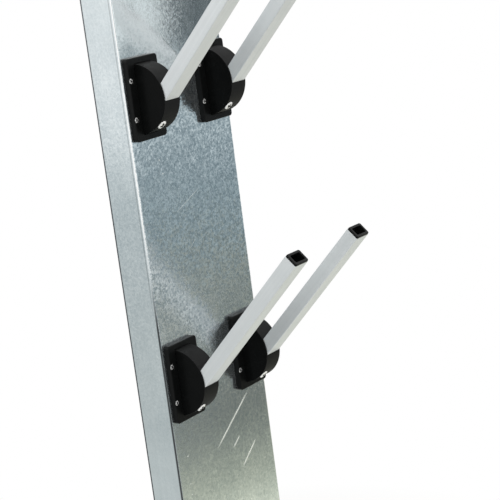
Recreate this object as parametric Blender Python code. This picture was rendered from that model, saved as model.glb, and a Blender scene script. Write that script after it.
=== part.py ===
"""Wall-mounted ski boot dryer: a folded steel air column with four swivelling air tubes, a blower and a heater.

Units are metres and +Z is up. The wall is the plane y = 0 and the front faces -Y.
The origin is the middle of the column's back, on the wall.
"""

import math

import bmesh
import bpy
from mathutils import Matrix, Vector

# Gap between pieces that meet
FIT = 0.0003

# Column of folded sheet
COLUMN_WIDTH = 0.226
COLUMN_DEPTH = 0.054
COLUMN_HEIGHT = 1.0
SHEET = 0.0015
BEND_RADIUS = 0.003
BACK_FLANGE = 0.022
WALL_HOLE_RADIUS = 0.0035
WALL_HOLE_SPREAD = 0.150
WALL_HOLE_DROP = 0.060
WALL_HOLE_RISE = 0.240
TAB_LENGTH = 0.018
TAB_WIDTH = 0.014
CASE_SCREW_SETBACK = 0.011
CASE_SCREW_INSET = 0.011

# Places of the holders
UPPER_ROW_DROP = 0.205
ROW_PITCH = 0.400
HOLDER_INSET = 0.0375

# Air tubes
TUBE_WIDTH = 0.030
TUBE_HEIGHT = 0.020
TUBE_WALL = 0.002
TUBE_CORNER = 0.001
TUBE_LENGTH = 0.300
TUBE_ANGLE = math.radians(45)
TUBE_OFFSET = 0.0262
TUBE_INSERT = 0.018
PLUG_LIP = 0.003
PLUG_DEPTH = 0.012
PLUG_WALL = 0.0018

# Swivel drums
DRUM_RADIUS = 0.0478
DRUM_WALL = 0.0024
DRUM_CHEEK = 0.0016
FOLD_ANGLE = math.radians(45)
STOP_THICKNESS = 0.0024
STOP_HEIGHT = 0.0034
PIN_RADIUS = 0.00275
PIN_BEARING = 0.008
CLAMP_PLACE = -0.004
CLAMP_ACROSS = -0.0084
CLAMP_HEAD_RADIUS = 0.0067
CLAMP_HEAD_HEIGHT = 0.0026
CLAMP_THREAD_RADIUS = 0.0025

# Holder plates
PLATE_THICKNESS = 0.008
PLATE_FLANGE = 0.0148
PLATE_RIM = 0.0084
PLATE_CORNER = 0.0034
PLATE_EDGE = 0.0012
PLATE_SCREW_HEIGHT = 0.0263
PLATE_SCREW_INSET = 0.005
SCREW_HEAD_RADIUS = 0.0034
SCREW_HEAD_HEIGHT = 0.0022
SCREW_THREAD_RADIUS = 0.0019
SCREW_LENGTH = 0.009
SCREW_SINK = 0.0034
SCREW_POCKET_RADIUS = 0.0041

# Blower
BLOWER_RISE = 0.064
BLOWER_INSET = 0.018
WHEEL_LENGTH = 0.130
WHEEL_RADIUS = 0.019
BLADE_COUNT = 14
BLADE_DEPTH = 0.006
BLADE_THICKNESS = 0.001
WHEEL_DISC = 0.002
SHAFT_RADIUS = 0.003
SHAFT_STUB = 0.012
WHEEL_GAP = 0.002
BEARING_RADIUS = 0.007
MOTOR_RADIUS = 0.021
MOTOR_LENGTH = 0.038

# Heater
HEATER_RISE = 0.052
HEATER_RUNS = 4
HEATER_PITCH = 0.016
HEATER_TUBE_RADIUS = 0.0032
HEATER_INSET = 0.028
HEATER_RUN = 0.120
BRACKET_INSET = 0.012
BRACKET_THICKNESS = 0.0015
BRACKET_MARGIN = 0.010
CUTOUT_RADIUS = 0.008
CUTOUT_LENGTH = 0.007

# Electrical entry
GLAND_INSET = 0.025
GLAND_BORE = 0.0045
GLAND_THREAD_RADIUS = 0.008
GLAND_FLANGE_RADIUS = 0.012
GLAND_DROP = 0.018
GLAND_RISE = 0.011
NUT_THICKNESS = 0.005
TERMINAL_SIZE = (0.034, 0.016, 0.040)
TERMINAL_RISE = 0.086

# Inlet slots
SLOT_COUNT = 9
SLOT_WIDTH = 0.004
SLOT_PITCH = 0.016
SLOT_LENGTH = 0.034
SLOT_INSET = 0.021

# Sizes and places that follow from the ones above
SEAT_TOP = TUBE_OFFSET - TUBE_HEIGHT / 2 - FIT
SEAT_BOTTOM = TUBE_OFFSET + TUBE_HEIGHT / 2 + FIT
DRUM_INSIDE = TUBE_WIDTH + 2 * FIT
DRUM_WIDTH = DRUM_INSIDE + 2 * DRUM_CHEEK
DRUM_INNER_RADIUS = DRUM_RADIUS - DRUM_WALL
PIVOT_OUT = PIN_RADIUS + 2 * FIT
STOP_RADIUS = DRUM_RADIUS + STOP_HEIGHT
HUB_RADIUS = PIVOT_OUT + STOP_THICKNESS + 2 * FIT
PLATE_SLOT_WIDTH = DRUM_WIDTH + 2 * FIT
PLATE_SLOT_HEIGHT = 2 * (DRUM_RADIUS + FIT)
PLATE_WIDTH = PLATE_SLOT_WIDTH + 2 * PLATE_FLANGE
PLATE_HEIGHT = PLATE_SLOT_HEIGHT + 2 * PLATE_RIM
PLATE_BACK = FIT - PIVOT_OUT
PLATE_FRONT = PLATE_THICKNESS - PIVOT_OUT
PLATE_SCREW_PLACE = PLATE_WIDTH / 2 - PLATE_SCREW_INSET
PIN_LENGTH = DRUM_WIDTH + 2 * PIN_BEARING
PIVOT_PLACE = -COLUMN_DEPTH - PIVOT_OUT
SHELL_HALF_HEIGHT = COLUMN_HEIGHT / 2 - SHEET - FIT
BACK_HALF_WIDTH = COLUMN_WIDTH / 2 - SHEET - FIT
TAB_FACE = BACK_HALF_WIDTH - SHEET - FIT
MID_DEPTH = -COLUMN_DEPTH / 2
UPPER_ROW = COLUMN_HEIGHT / 2 - UPPER_ROW_DROP
HOLDER_PLACE = COLUMN_WIDTH / 2 - HOLDER_INSET
BLOWER_HEIGHT = BLOWER_RISE - COLUMN_HEIGHT / 2
BLOWER_LEFT = BLOWER_INSET - COLUMN_WIDTH / 2
HEATER_HEIGHT = BLOWER_HEIGHT + HEATER_RISE
HEATER_LEFT = HEATER_INSET - COLUMN_WIDTH / 2
TERMINAL_HEIGHT = BLOWER_HEIGHT + TERMINAL_RISE
GLAND_PLACE = COLUMN_WIDTH / 2 - GLAND_INSET
SLOT_START = SLOT_INSET - COLUMN_WIDTH / 2
CLAMP_SEAT = math.sqrt(DRUM_RADIUS ** 2 - (abs(CLAMP_PLACE) + CLAMP_HEAD_RADIUS) ** 2)

HOLDER_PLACES = {
    "upper_left": (-HOLDER_PLACE, UPPER_ROW),
    "upper_right": (HOLDER_PLACE, UPPER_ROW),
    "lower_left": (-HOLDER_PLACE, UPPER_ROW - ROW_PITCH),
    "lower_right": (HOLDER_PLACE, UPPER_ROW - ROW_PITCH),
}

# Frames that carry (first, second, height) of a flat outline into the model
PLAN = Matrix(((1, 0, 0), (0, 1, 0), (0, 0, 1)))
FRONT = Matrix(((1, 0, 0), (0, 0, -1), (0, 1, 0)))
SIDE = Matrix(((0, 0, 1), (-1, 0, 0), (0, 1, 0)))
ALONG_TUBE = Matrix((
    (1, 0, 0),
    (0, -math.sin(TUBE_ANGLE), -math.cos(TUBE_ANGLE)),
    (0, -math.cos(TUBE_ANGLE), math.sin(TUBE_ANGLE)),
))
ACROSS_TUBE = Matrix((
    (1, 0, 0),
    (0, -math.cos(TUBE_ANGLE), -math.sin(TUBE_ANGLE)),
    (0, math.sin(TUBE_ANGLE), -math.cos(TUBE_ANGLE)),
))


def arc(radius, start, end, steps, centre=(0, 0)):
    """Points along an arc, both ends included."""
    angles = [start + (end - start) * i / steps for i in range(steps + 1)]
    return [(centre[0] + radius * math.cos(a), centre[1] + radius * math.sin(a)) for a in angles]


def circle(radius, steps, centre=(0, 0)):
    """Points around a circle."""
    return arc(radius, 0, 2 * math.pi, steps, centre)[:-1]


def rectangle(left, right, bottom, top):
    """The four corners of a rectangle."""
    return [(left, bottom), (right, bottom), (right, top), (left, top)]


def rounded_rectangle(width, height, radius, steps=4, centre=(0, 0)):
    """A rectangle about a centre, with its corners rounded."""
    across = width / 2 - radius
    up = height / 2 - radius
    corners = ((across, up), (-across, up), (-across, -up), (across, -up))
    points = []
    for quarter, (x, y) in enumerate(corners):
        start = quarter * math.pi / 2
        points += arc(radius, start, start + math.pi / 2, steps, (centre[0] + x, centre[1] + y))
    return points


def from_seat(along, across):
    """A place given along and across the tube, as (out, up) from the pivot."""
    cosine, sine = math.cos(TUBE_ANGLE), math.sin(TUBE_ANGLE)
    return (along * cosine + across * sine, along * sine - across * cosine)


def mesh_from(builder, name):
    """The builder's faces as a mesh with its faces turned outward."""
    bmesh.ops.remove_doubles(builder, verts=builder.verts, dist=1e-7)
    bmesh.ops.recalc_face_normals(builder, faces=builder.faces)
    mesh = bpy.data.meshes.new(name)
    builder.to_mesh(mesh)
    builder.free()
    return mesh


def prism(outline, low, high, frame=PLAN, holes=()):
    """A closed solid: a flat outline less its holes, carried from one height to another."""
    builder = bmesh.new()
    edges = []
    for loop in (outline, *holes):
        corners = [builder.verts.new(frame @ Vector((x, y, low))) for x, y in loop]
        for first, second in zip(corners, corners[1:] + corners[:1]):
            edges.append(builder.edges.new((first, second)))
    bmesh.ops.triangle_fill(builder, use_beauty=True, edges=edges)
    grown = bmesh.ops.extrude_face_region(builder, geom=builder.faces[:], use_keep_orig=True)
    raised = [item for item in grown["geom"] if isinstance(item, bmesh.types.BMVert)]
    lift = frame @ Vector((0, 0, high - low))
    bmesh.ops.translate(builder, verts=raised, vec=lift)
    return mesh_from(builder, "prism")


def turned(profile, steps, frame=PLAN, place=(0, 0, 0)):
    """A closed solid: a profile of (radius, height) points turned about the height axis of a frame."""
    builder = bmesh.new()
    corners = [builder.verts.new((radius, 0, height)) for radius, height in profile]
    edges = [builder.edges.new(pair) for pair in zip(corners, corners[1:])]
    bmesh.ops.spin(builder, geom=corners + edges, axis=(0, 0, 1), cent=(0, 0, 0), angle=2 * math.pi, steps=steps)
    bmesh.ops.transform(builder, matrix=Matrix.Translation(place) @ frame.to_4x4(), verts=builder.verts)
    return mesh_from(builder, "turned")


def box(x_range, y_range, z_range):
    """A closed box between two limits on each axis."""
    return prism(rectangle(*x_range, *y_range), *z_range)


def gathered(meshes):
    """Several meshes in one, without joining their solids."""
    builder = bmesh.new()
    for mesh in meshes:
        builder.from_mesh(mesh)
        bpy.data.meshes.remove(mesh)
    return mesh_from(builder, "gathered")


def boolean(mesh, other, operation):
    """The mesh after a Boolean with another one; both are used up."""
    target = bpy.data.objects.new("target", mesh)
    tool = bpy.data.objects.new("tool", other)
    tool.hide_render = True
    tool.display_type = "WIRE"
    for item in (target, tool):
        bpy.context.scene.collection.objects.link(item)
    modifier = target.modifiers.new("Boolean", "BOOLEAN")
    modifier.operation = operation
    modifier.solver = "EXACT"
    modifier.object = tool
    finished = target.evaluated_get(bpy.context.evaluated_depsgraph_get())
    result = bpy.data.meshes.new_from_object(finished)
    for item, data in ((target, mesh), (tool, other)):
        bpy.data.objects.remove(item)
        bpy.data.meshes.remove(data)
    return result


def cut(mesh, *tools):
    """The mesh less the tools, which don't overlap each other."""
    return boolean(mesh, gathered(tools), "DIFFERENCE")


def fuse(mesh, *others):
    """The mesh joined with others, one after another."""
    for other in others:
        mesh = boolean(mesh, other, "UNION")
    return mesh


def material(name, colour, roughness, metallic):
    """A Principled material."""
    made = bpy.data.materials.new(name)
    made.use_nodes = True
    shader = made.node_tree.nodes["Principled BSDF"]
    shader.inputs["Base Color"].default_value = (*colour, 1)
    shader.inputs["Roughness"].default_value = roughness
    shader.inputs["Metallic"].default_value = metallic
    return made


def add(name, mesh, finish, place=(0, 0, 0), parent=None, round_angle=None):
    """A named piece of the model; round pieces are shaded smooth up to an angle."""
    piece = bpy.data.objects.new(name, mesh)
    piece.location = place
    piece.parent = parent
    bpy.context.scene.collection.objects.link(piece)
    if not mesh.materials:
        mesh.materials.append(finish)
    if round_angle:
        mesh.shade_smooth()
        mesh.set_sharp_from_angle(angle=math.radians(round_angle))
    return piece


def add_axis(name, place):
    """An empty on a joint's axis, as the parent of what turns there."""
    axis = bpy.data.objects.new(name, None)
    axis.location = place
    axis.empty_display_size = 0.02
    bpy.context.scene.collection.objects.link(axis)
    return axis


def screw_profile(head_radius, head_height, thread_radius, length):
    """Half section of a pan head screw whose head stands on height zero."""
    return [
        (0, head_height),
        (head_radius * 0.55, head_height * 0.92),
        (head_radius * 0.9, head_height * 0.55),
        (head_radius, 0),
        (thread_radius, 0),
        (thread_radius, -length + thread_radius),
        (0, -length),
    ]


def plate_screw_places():
    """The four screws of a holder plate, as (across, up) from its pivot."""
    return [(x * PLATE_SCREW_PLACE, z * PLATE_SCREW_HEIGHT) for x in (-1, 1) for z in (1, -1)]


def case_screw_holes():
    """One long tool through both sides of the case at each end of the column."""
    reach = COLUMN_WIDTH / 2 + 0.01
    tools = []
    for end in (-1, 1):
        place = (-reach, -CASE_SCREW_SETBACK, end * (COLUMN_HEIGHT / 2 - CASE_SCREW_INSET))
        hole = circle(SCREW_THREAD_RADIUS + FIT, 10, (-place[1], place[2]))
        tools.append(prism(hole, -reach, reach, SIDE))
    return tools


def column_shell_mesh():
    """Front and sides of the column, folded from one sheet, with its openings behind the holders."""
    half = COLUMN_WIDTH / 2
    fold = half - BEND_RADIUS
    depth = -COLUMN_DEPTH + BEND_RADIUS
    inner = BEND_RADIUS - SHEET
    quarter = math.pi / 2
    outline = [(-half, -FIT)]
    outline += arc(BEND_RADIUS, 2 * quarter, 3 * quarter, 4, (-fold, depth))
    outline += arc(BEND_RADIUS, 3 * quarter, 4 * quarter, 4, (fold, depth))
    outline += [(half, -FIT), (half - SHEET, -FIT)]
    outline += arc(inner, 4 * quarter, 3 * quarter, 4, (fold, depth))
    outline += arc(inner, 3 * quarter, 2 * quarter, 4, (-fold, depth))
    outline += [(-half + SHEET, -FIT)]
    tools = case_screw_holes()
    front = COLUMN_DEPTH + 0.005
    back = COLUMN_DEPTH - SHEET - 0.002
    across = DRUM_WIDTH / 2 + 3 * FIT
    up = STOP_RADIUS + 3 * FIT
    for x, z in HOLDER_PLACES.values():
        tools.append(prism(rectangle(x - across, x + across, z - up, z + up), back, front, FRONT))
        for screw_x, screw_z in plate_screw_places():
            hole = circle(SCREW_THREAD_RADIUS + FIT, 8, (x + screw_x, z + screw_z))
            tools.append(prism(hole, back, front, FRONT))
    return cut(prism(outline, -SHELL_HALF_HEIGHT, SHELL_HALF_HEIGHT), *tools)


def back_panel_mesh():
    """Back of the column, a tray inside the shell, with its wall holes."""
    half = BACK_HALF_WIDTH
    fold = half - BEND_RADIUS
    inner = BEND_RADIUS - SHEET
    quarter = math.pi / 2
    outline = [(half, -BACK_FLANGE)]
    outline += arc(BEND_RADIUS, 0, quarter, 4, (fold, -BEND_RADIUS))
    outline += arc(BEND_RADIUS, quarter, 2 * quarter, 4, (-fold, -BEND_RADIUS))
    outline += [(-half, -BACK_FLANGE), (-half + SHEET, -BACK_FLANGE)]
    outline += arc(inner, 2 * quarter, quarter, 4, (-fold, -BEND_RADIUS))
    outline += arc(inner, quarter, 0, 4, (fold, -BEND_RADIUS))
    outline += [(half - SHEET, -BACK_FLANGE)]
    tools = case_screw_holes()
    for x in (-WALL_HOLE_SPREAD / 2, WALL_HOLE_SPREAD / 2):
        for z in (WALL_HOLE_RISE - COLUMN_HEIGHT / 2, COLUMN_HEIGHT / 2 - WALL_HOLE_DROP):
            tools.append(prism(circle(WALL_HOLE_RADIUS, 12, (x, z)), -0.005, 0.005, FRONT))
    return cut(prism(outline, -SHELL_HALF_HEIGHT, SHELL_HALF_HEIGHT), *tools)


def end_plate_mesh(end):
    """Closing plate of the column with two tabs for the case screws; end is 1 at the top, -1 at the bottom."""
    half = COLUMN_WIDTH / 2
    fold = half - BEND_RADIUS
    depth = -COLUMN_DEPTH + BEND_RADIUS
    quarter = math.pi / 2
    outline = [(half, -FIT), (-half, -FIT)]
    outline += arc(BEND_RADIUS, 2 * quarter, 3 * quarter, 4, (-fold, depth))
    outline += arc(BEND_RADIUS, 3 * quarter, 4 * quarter, 4, (fold, depth))
    outside = end * COLUMN_HEIGHT / 2
    inside = end * (COLUMN_HEIGHT / 2 - SHEET)
    tab_end = inside - end * TAB_LENGTH
    tab_root = (inside + outside) / 2
    tab_range = (-CASE_SCREW_SETBACK - TAB_WIDTH / 2, -CASE_SCREW_SETBACK + TAB_WIDTH / 2)
    plate = prism(outline, min(inside, outside), max(inside, outside))
    heights = (min(tab_root, tab_end), max(tab_root, tab_end))
    left = box((-TAB_FACE, -TAB_FACE + SHEET), tab_range, heights)
    right = box((TAB_FACE - SHEET, TAB_FACE), tab_range, heights)
    return cut(fuse(plate, left, right), *case_screw_holes())


def inlet_grille_mesh():
    """Bottom plate with its air slots and the hole of the cable gland."""
    low, high = -COLUMN_HEIGHT / 2 - 0.002, -COLUMN_HEIGHT / 2 + SHEET + 0.002
    tools = [prism(circle(GLAND_THREAD_RADIUS + FIT, 20, (GLAND_PLACE, MID_DEPTH)), low, high)]
    for i in range(SLOT_COUNT):
        centre = (SLOT_START + i * SLOT_PITCH, MID_DEPTH)
        slot = rounded_rectangle(SLOT_WIDTH, SLOT_LENGTH, SLOT_WIDTH * 0.499, 3, centre)
        tools.append(prism(slot, low, high))
    return cut(end_plate_mesh(-1), *tools)


def holder_plate_mesh():
    """Rounded plate with the drum's slot, four sunk screw holes and a groove at its back for the pivot pin."""
    outline = rounded_rectangle(PLATE_WIDTH, PLATE_HEIGHT, PLATE_CORNER)
    face = rounded_rectangle(PLATE_WIDTH - 2 * PLATE_EDGE, PLATE_HEIGHT - 2 * PLATE_EDGE, PLATE_CORNER - PLATE_EDGE)
    builder = bmesh.new()
    rings = []
    for points, height in ((outline, PLATE_BACK), (outline, PLATE_FRONT - PLATE_EDGE), (face, PLATE_FRONT)):
        rings.append([builder.verts.new((x, -height, z)) for x, z in points])
    for lower, upper in zip(rings, rings[1:]):
        for i in range(len(lower)):
            builder.faces.new((lower[i - 1], lower[i], upper[i], upper[i - 1]))
    builder.faces.new(rings[0])
    builder.faces.new(rings[-1])
    plate = mesh_from(builder, "plate")
    half_width, half_height = PLATE_SLOT_WIDTH / 2, PLATE_SLOT_HEIGHT / 2
    slot = rectangle(-half_width, half_width, -half_height, half_height)
    tools = [prism(slot, PLATE_BACK - 0.001, PLATE_FRONT + 0.001, FRONT)]
    for place in plate_screw_places():
        section = [
            (0, PLATE_FRONT + 0.001),
            (SCREW_POCKET_RADIUS, PLATE_FRONT + 0.001),
            (SCREW_POCKET_RADIUS, PLATE_FRONT - SCREW_SINK),
            (SCREW_THREAD_RADIUS + FIT, PLATE_FRONT - SCREW_SINK),
            (SCREW_THREAD_RADIUS + FIT, PLATE_BACK - 0.001),
            (0, PLATE_BACK - 0.001),
        ]
        tools.append(turned(section, 14, FRONT, (place[0], 0, place[1])))
    groove = [(PLATE_BACK - 0.001, -PIN_RADIUS - FIT)]
    groove += arc(PIN_RADIUS + FIT, -math.pi / 2, math.pi / 2, 6)
    groove += [(PLATE_BACK - 0.001, PIN_RADIUS + FIT)]
    reach = PIN_LENGTH / 2 + FIT
    return cut(cut(plate, *tools), prism(groove, -reach, reach, SIDE))


def drum_outline():
    """Side of the drum: a sector about its hub, with a stop bar at each end that meets the back of the plate.

    The upper bar does so at rest; the lower one is its mirror image, turned back by the fold angle.
    """
    front, back = -PIVOT_OUT, -PIVOT_OUT - STOP_THICKNESS
    rise = math.sqrt(HUB_RADIUS ** 2 - back ** 2)
    upper = [(front, STOP_RADIUS), (back, STOP_RADIUS), (back, rise)]
    cosine, sine = math.cos(FOLD_ANGLE), math.sin(FOLD_ANGLE)
    lower = [(x * cosine - y * sine, -x * sine - y * cosine) for x, y in reversed(upper)]
    rim_end = math.pi / 2 + math.asin(PIVOT_OUT / DRUM_RADIUS)
    rim = arc(DRUM_RADIUS, -rim_end - FOLD_ANGLE, rim_end, 32)
    hub_start = math.atan2(rise, back)
    hub = arc(HUB_RADIUS, hub_start, 2 * math.pi - hub_start - FOLD_ANGLE, 6)
    return rim + upper + hub[1:-1] + lower


def drum_airway_outline():
    """The way of the air: from the open back of the drum round the tube's end stop, then along its seat."""
    inner = -TUBE_INSERT - FIT
    outer = inner - DRUM_WALL
    past_edge = -HUB_RADIUS
    mouth = DRUM_RADIUS + STOP_HEIGHT
    stop_top = SEAT_BOTTOM - TUBE_WALL
    shelf_end = -math.sqrt(DRUM_INNER_RADIUS ** 2 - SEAT_BOTTOM ** 2)
    start = TUBE_ANGLE - math.pi - math.asin(-past_edge / DRUM_INNER_RADIUS)
    end = TUBE_ANGLE - math.atan2(SEAT_BOTTOM, shelf_end)
    corners = [(mouth, SEAT_BOTTOM), (mouth, SEAT_TOP), (outer, SEAT_TOP), (outer, past_edge)]
    rest = [(outer, SEAT_BOTTOM), (outer, stop_top), (inner, stop_top), (inner, SEAT_BOTTOM)]
    points = [from_seat(*place) for place in corners]
    points += arc(DRUM_INNER_RADIUS, start, end, 8)
    return points + [from_seat(*place) for place in rest]


def drum_hollow_outline():
    """The hollow above the tube, between the hub and the curved wall, open at the back."""
    roof = SEAT_TOP - DRUM_WALL
    first = TUBE_ANGLE - math.asin(roof / DRUM_INNER_RADIUS)
    last = math.pi / 2 + math.asin(HUB_RADIUS / DRUM_INNER_RADIUS)
    points = arc(DRUM_INNER_RADIUS, first, last, 9)
    points.append((-HUB_RADIUS, HUB_RADIUS))
    points += arc(HUB_RADIUS, math.pi / 2, TUBE_ANGLE, 4)
    points.append(from_seat(HUB_RADIUS, roof))
    return points


def swivel_drum_mesh():
    """Hollow drum that holds the tube, cut from a solid sector."""
    inside = DRUM_INSIDE / 2
    drum = prism(drum_outline(), -DRUM_WIDTH / 2, DRUM_WIDTH / 2, SIDE)
    hollows = [prism(outline, -inside, inside, SIDE) for outline in (drum_airway_outline(), drum_hollow_outline())]
    drum = cut(drum, *hollows)
    sunk = [
        (0, DRUM_RADIUS + 0.004),
        (CLAMP_HEAD_RADIUS + 2 * FIT, DRUM_RADIUS + 0.004),
        (CLAMP_HEAD_RADIUS + 2 * FIT, CLAMP_SEAT),
        (CLAMP_THREAD_RADIUS + FIT, CLAMP_SEAT),
        (CLAMP_THREAD_RADIUS + FIT, SEAT_BOTTOM - 0.001),
        (0, SEAT_BOTTOM - 0.001),
    ]
    bore = prism(circle(PIN_RADIUS + FIT, 20), -DRUM_WIDTH, DRUM_WIDTH, SIDE)
    return cut(drum, bore, turned(sunk, 18, ACROSS_TUBE, ACROSS_TUBE @ Vector((CLAMP_ACROSS, CLAMP_PLACE, 0))))


def air_tube_mesh():
    """Rectangular aluminium tube, open at both ends, with a hole for its clamp screw."""
    centre = (0, TUBE_OFFSET)
    outside = rounded_rectangle(TUBE_WIDTH, TUBE_HEIGHT, TUBE_CORNER, 2, centre)
    inside = rectangle(
        -TUBE_WIDTH / 2 + TUBE_WALL,
        TUBE_WIDTH / 2 - TUBE_WALL,
        TUBE_OFFSET - TUBE_HEIGHT / 2 + TUBE_WALL,
        TUBE_OFFSET + TUBE_HEIGHT / 2 - TUBE_WALL,
    )
    tube = prism(outside, -TUBE_INSERT, TUBE_LENGTH - TUBE_INSERT, ALONG_TUBE, [inside])
    hole = circle(CLAMP_THREAD_RADIUS + FIT, 10, (CLAMP_ACROSS, CLAMP_PLACE))
    return cut(tube, prism(hole, TUBE_OFFSET, SEAT_BOTTOM + 0.001, ACROSS_TUBE))


def tube_plug_mesh():
    """Plastic plug in the tube's outer end, with a rounded lip and an air opening through it."""
    end = TUBE_LENGTH - TUBE_INSERT
    centre = (0, TUBE_OFFSET)
    body_width = TUBE_WIDTH - 2 * (TUBE_WALL + FIT)
    body_height = TUBE_HEIGHT - 2 * (TUBE_WALL + FIT)
    lip = rounded_rectangle(TUBE_WIDTH, TUBE_HEIGHT, 3 * TUBE_CORNER, 3, centre)
    body = rectangle(-body_width / 2, body_width / 2, TUBE_OFFSET - body_height / 2, TUBE_OFFSET + body_height / 2)
    mouth = rounded_rectangle(body_width - 2 * PLUG_WALL, body_height - 2 * PLUG_WALL, 2 * TUBE_CORNER, 3, centre)
    plug = fuse(
        prism(lip, end + FIT, end + FIT + PLUG_LIP, ALONG_TUBE),
        prism(body, end - PLUG_DEPTH, end + FIT + PLUG_LIP / 2, ALONG_TUBE),
    )
    return cut(plug, prism(mouth, end - PLUG_DEPTH - 0.001, end + PLUG_LIP + 0.001, ALONG_TUBE))


def clamp_screw_mesh():
    """Large pan head screw that clamps the tube in its drum."""
    length = CLAMP_SEAT + FIT - SEAT_BOTTOM + TUBE_WALL
    profile = screw_profile(CLAMP_HEAD_RADIUS, CLAMP_HEAD_HEIGHT, CLAMP_THREAD_RADIUS, length)
    place = ACROSS_TUBE @ Vector((CLAMP_ACROSS, CLAMP_PLACE, CLAMP_SEAT + FIT))
    return turned(profile, 18, ACROSS_TUBE, place)


def plate_screw_mesh():
    """Pan head screw of a holder plate; its head stands on the bottom of the sunk hole."""
    profile = screw_profile(SCREW_HEAD_RADIUS, SCREW_HEAD_HEIGHT, SCREW_THREAD_RADIUS, SCREW_LENGTH)
    return turned(profile, 12, FRONT, (0, -(PLATE_FRONT - SCREW_SINK + FIT), 0))


def case_screw_mesh(side):
    """Pan head screw in the side of the case, its point inward; side is -1 at the left and 1 at the right."""
    profile = screw_profile(SCREW_HEAD_RADIUS, SCREW_HEAD_HEIGHT, SCREW_THREAD_RADIUS, SCREW_LENGTH)
    across = Matrix(((0, 0, side), (0, 1, 0), (-side, 0, 0)))
    return turned(profile, 12, across, (side * (COLUMN_WIDTH / 2 + FIT), 0, 0))


def blower_wheel_mesh():
    """Cross-flow wheel about its own axis: slanted blades between three discs, with a shaft stub at each end."""
    reach = WHEEL_LENGTH / 2 - WHEEL_DISC / 2
    inner = WHEEL_RADIUS - BLADE_DEPTH
    blades = []
    for i in range(BLADE_COUNT):
        turn = 2 * math.pi * i / BLADE_COUNT
        half = BLADE_THICKNESS / WHEEL_RADIUS / 2
        lean = math.radians(14)
        root = arc(inner, turn - 1.4 * half, turn + 1.4 * half, 1)
        tip = arc(WHEEL_RADIUS - FIT, turn + lean + half, turn + lean - half, 1)
        blades.append(prism(root + tip, -reach, reach, SIDE))
    discs = []
    for x in (-WHEEL_LENGTH / 2, -WHEEL_DISC / 2, WHEEL_LENGTH / 2 - WHEEL_DISC):
        discs.append(prism(circle(WHEEL_RADIUS, 28), x, x + WHEEL_DISC, SIDE))
    shaft = prism(circle(SHAFT_RADIUS, 12), -WHEEL_LENGTH / 2 - SHAFT_STUB, WHEEL_LENGTH / 2 + SHAFT_STUB, SIDE)
    return fuse(boolean(gathered(blades), gathered(discs), "UNION"), shaft)


def blower_housing_mesh():
    """Two side plates joined by the curved rear guide and the front tongue."""
    guide_radius = WHEEL_RADIUS + 2 * WHEEL_GAP
    back = COLUMN_DEPTH / 2 - SHEET - FIT
    front = COLUMN_DEPTH / 2 - SHEET - 6 * FIT
    low, high = -WHEEL_RADIUS - 0.006, WHEEL_RADIUS + 0.014
    side = rectangle(-back, front, low, high)
    left_in = -WHEEL_LENGTH / 2 - WHEEL_GAP
    right_in = WHEEL_LENGTH / 2 + WHEEL_GAP
    left_hole = circle(BEARING_RADIUS + FIT, 16)
    right_hole = circle(SHAFT_RADIUS + WHEEL_GAP, 16)
    left = prism(side, left_in - SHEET, left_in, SIDE, [left_hole])
    right = prism(side, right_in, right_in + SHEET, SIDE, [right_hole])
    guide = arc(guide_radius, math.radians(250), math.radians(180), 8) + [(-guide_radius, high - FIT)]
    guide += [(-guide_radius + SHEET, high - FIT)]
    guide += arc(guide_radius - SHEET, math.radians(180), math.radians(250), 8)
    tongue = [(guide_radius - SHEET, 0), (guide_radius, 0), (guide_radius, high - FIT), (guide_radius - SHEET, high - FIT)]
    reach = (left_in - SHEET / 2, right_in + SHEET / 2)
    return fuse(prism(guide, *reach, SIDE), left, right, prism(tongue, *reach, SIDE))


def wheel_bearing_mesh():
    """Flanged bush of the wheel's left shaft stub."""
    bore = SHAFT_RADIUS + FIT
    start = -WHEEL_LENGTH / 2 - WHEEL_GAP - SHEET
    profile = [
        (bore, start - 0.004),
        (BEARING_RADIUS + 0.003, start - 0.004),
        (BEARING_RADIUS + 0.003, start - FIT),
        (BEARING_RADIUS, start - FIT),
        (BEARING_RADIUS, start + SHEET),
        (bore, start + SHEET),
        (bore, start - 0.004),
    ]
    return turned(profile, 20, SIDE)


def fan_motor_mesh():
    """Round motor on the right side plate, with a bore for the shaft stub."""
    start = WHEEL_LENGTH / 2 + WHEEL_GAP + SHEET + FIT
    edge = 0.002
    profile = [
        (0, WHEEL_LENGTH / 2 + SHAFT_STUB + FIT),
        (SHAFT_RADIUS + FIT, WHEEL_LENGTH / 2 + SHAFT_STUB + FIT),
        (SHAFT_RADIUS + FIT, start),
        (MOTOR_RADIUS - edge, start),
        (MOTOR_RADIUS, start + edge),
        (MOTOR_RADIUS, start + MOTOR_LENGTH - edge),
        (MOTOR_RADIUS - edge, start + MOTOR_LENGTH),
        (0, start + MOTOR_LENGTH),
    ]
    return turned(profile, 28, SIDE)


def heater_path():
    """Centre line of the heater tube, as (x, z): level runs joined by half-round bends."""
    left, right = HEATER_LEFT, HEATER_LEFT + HEATER_RUN
    bend = HEATER_PITCH / 2
    path = [(right + bend, HEATER_HEIGHT)]
    for run in range(HEATER_RUNS):
        level = HEATER_HEIGHT + run * HEATER_PITCH
        at_left = run % 2 == 0
        end = (left if at_left else right, level)
        if run == HEATER_RUNS - 1:
            path.append((right + bend, level))
            break
        sweep = (1.5, 0.5) if at_left else (-0.5, 0.5)
        path += arc(bend, sweep[0] * math.pi, sweep[1] * math.pi, 6, (end[0], level + bend))
    return path


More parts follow.
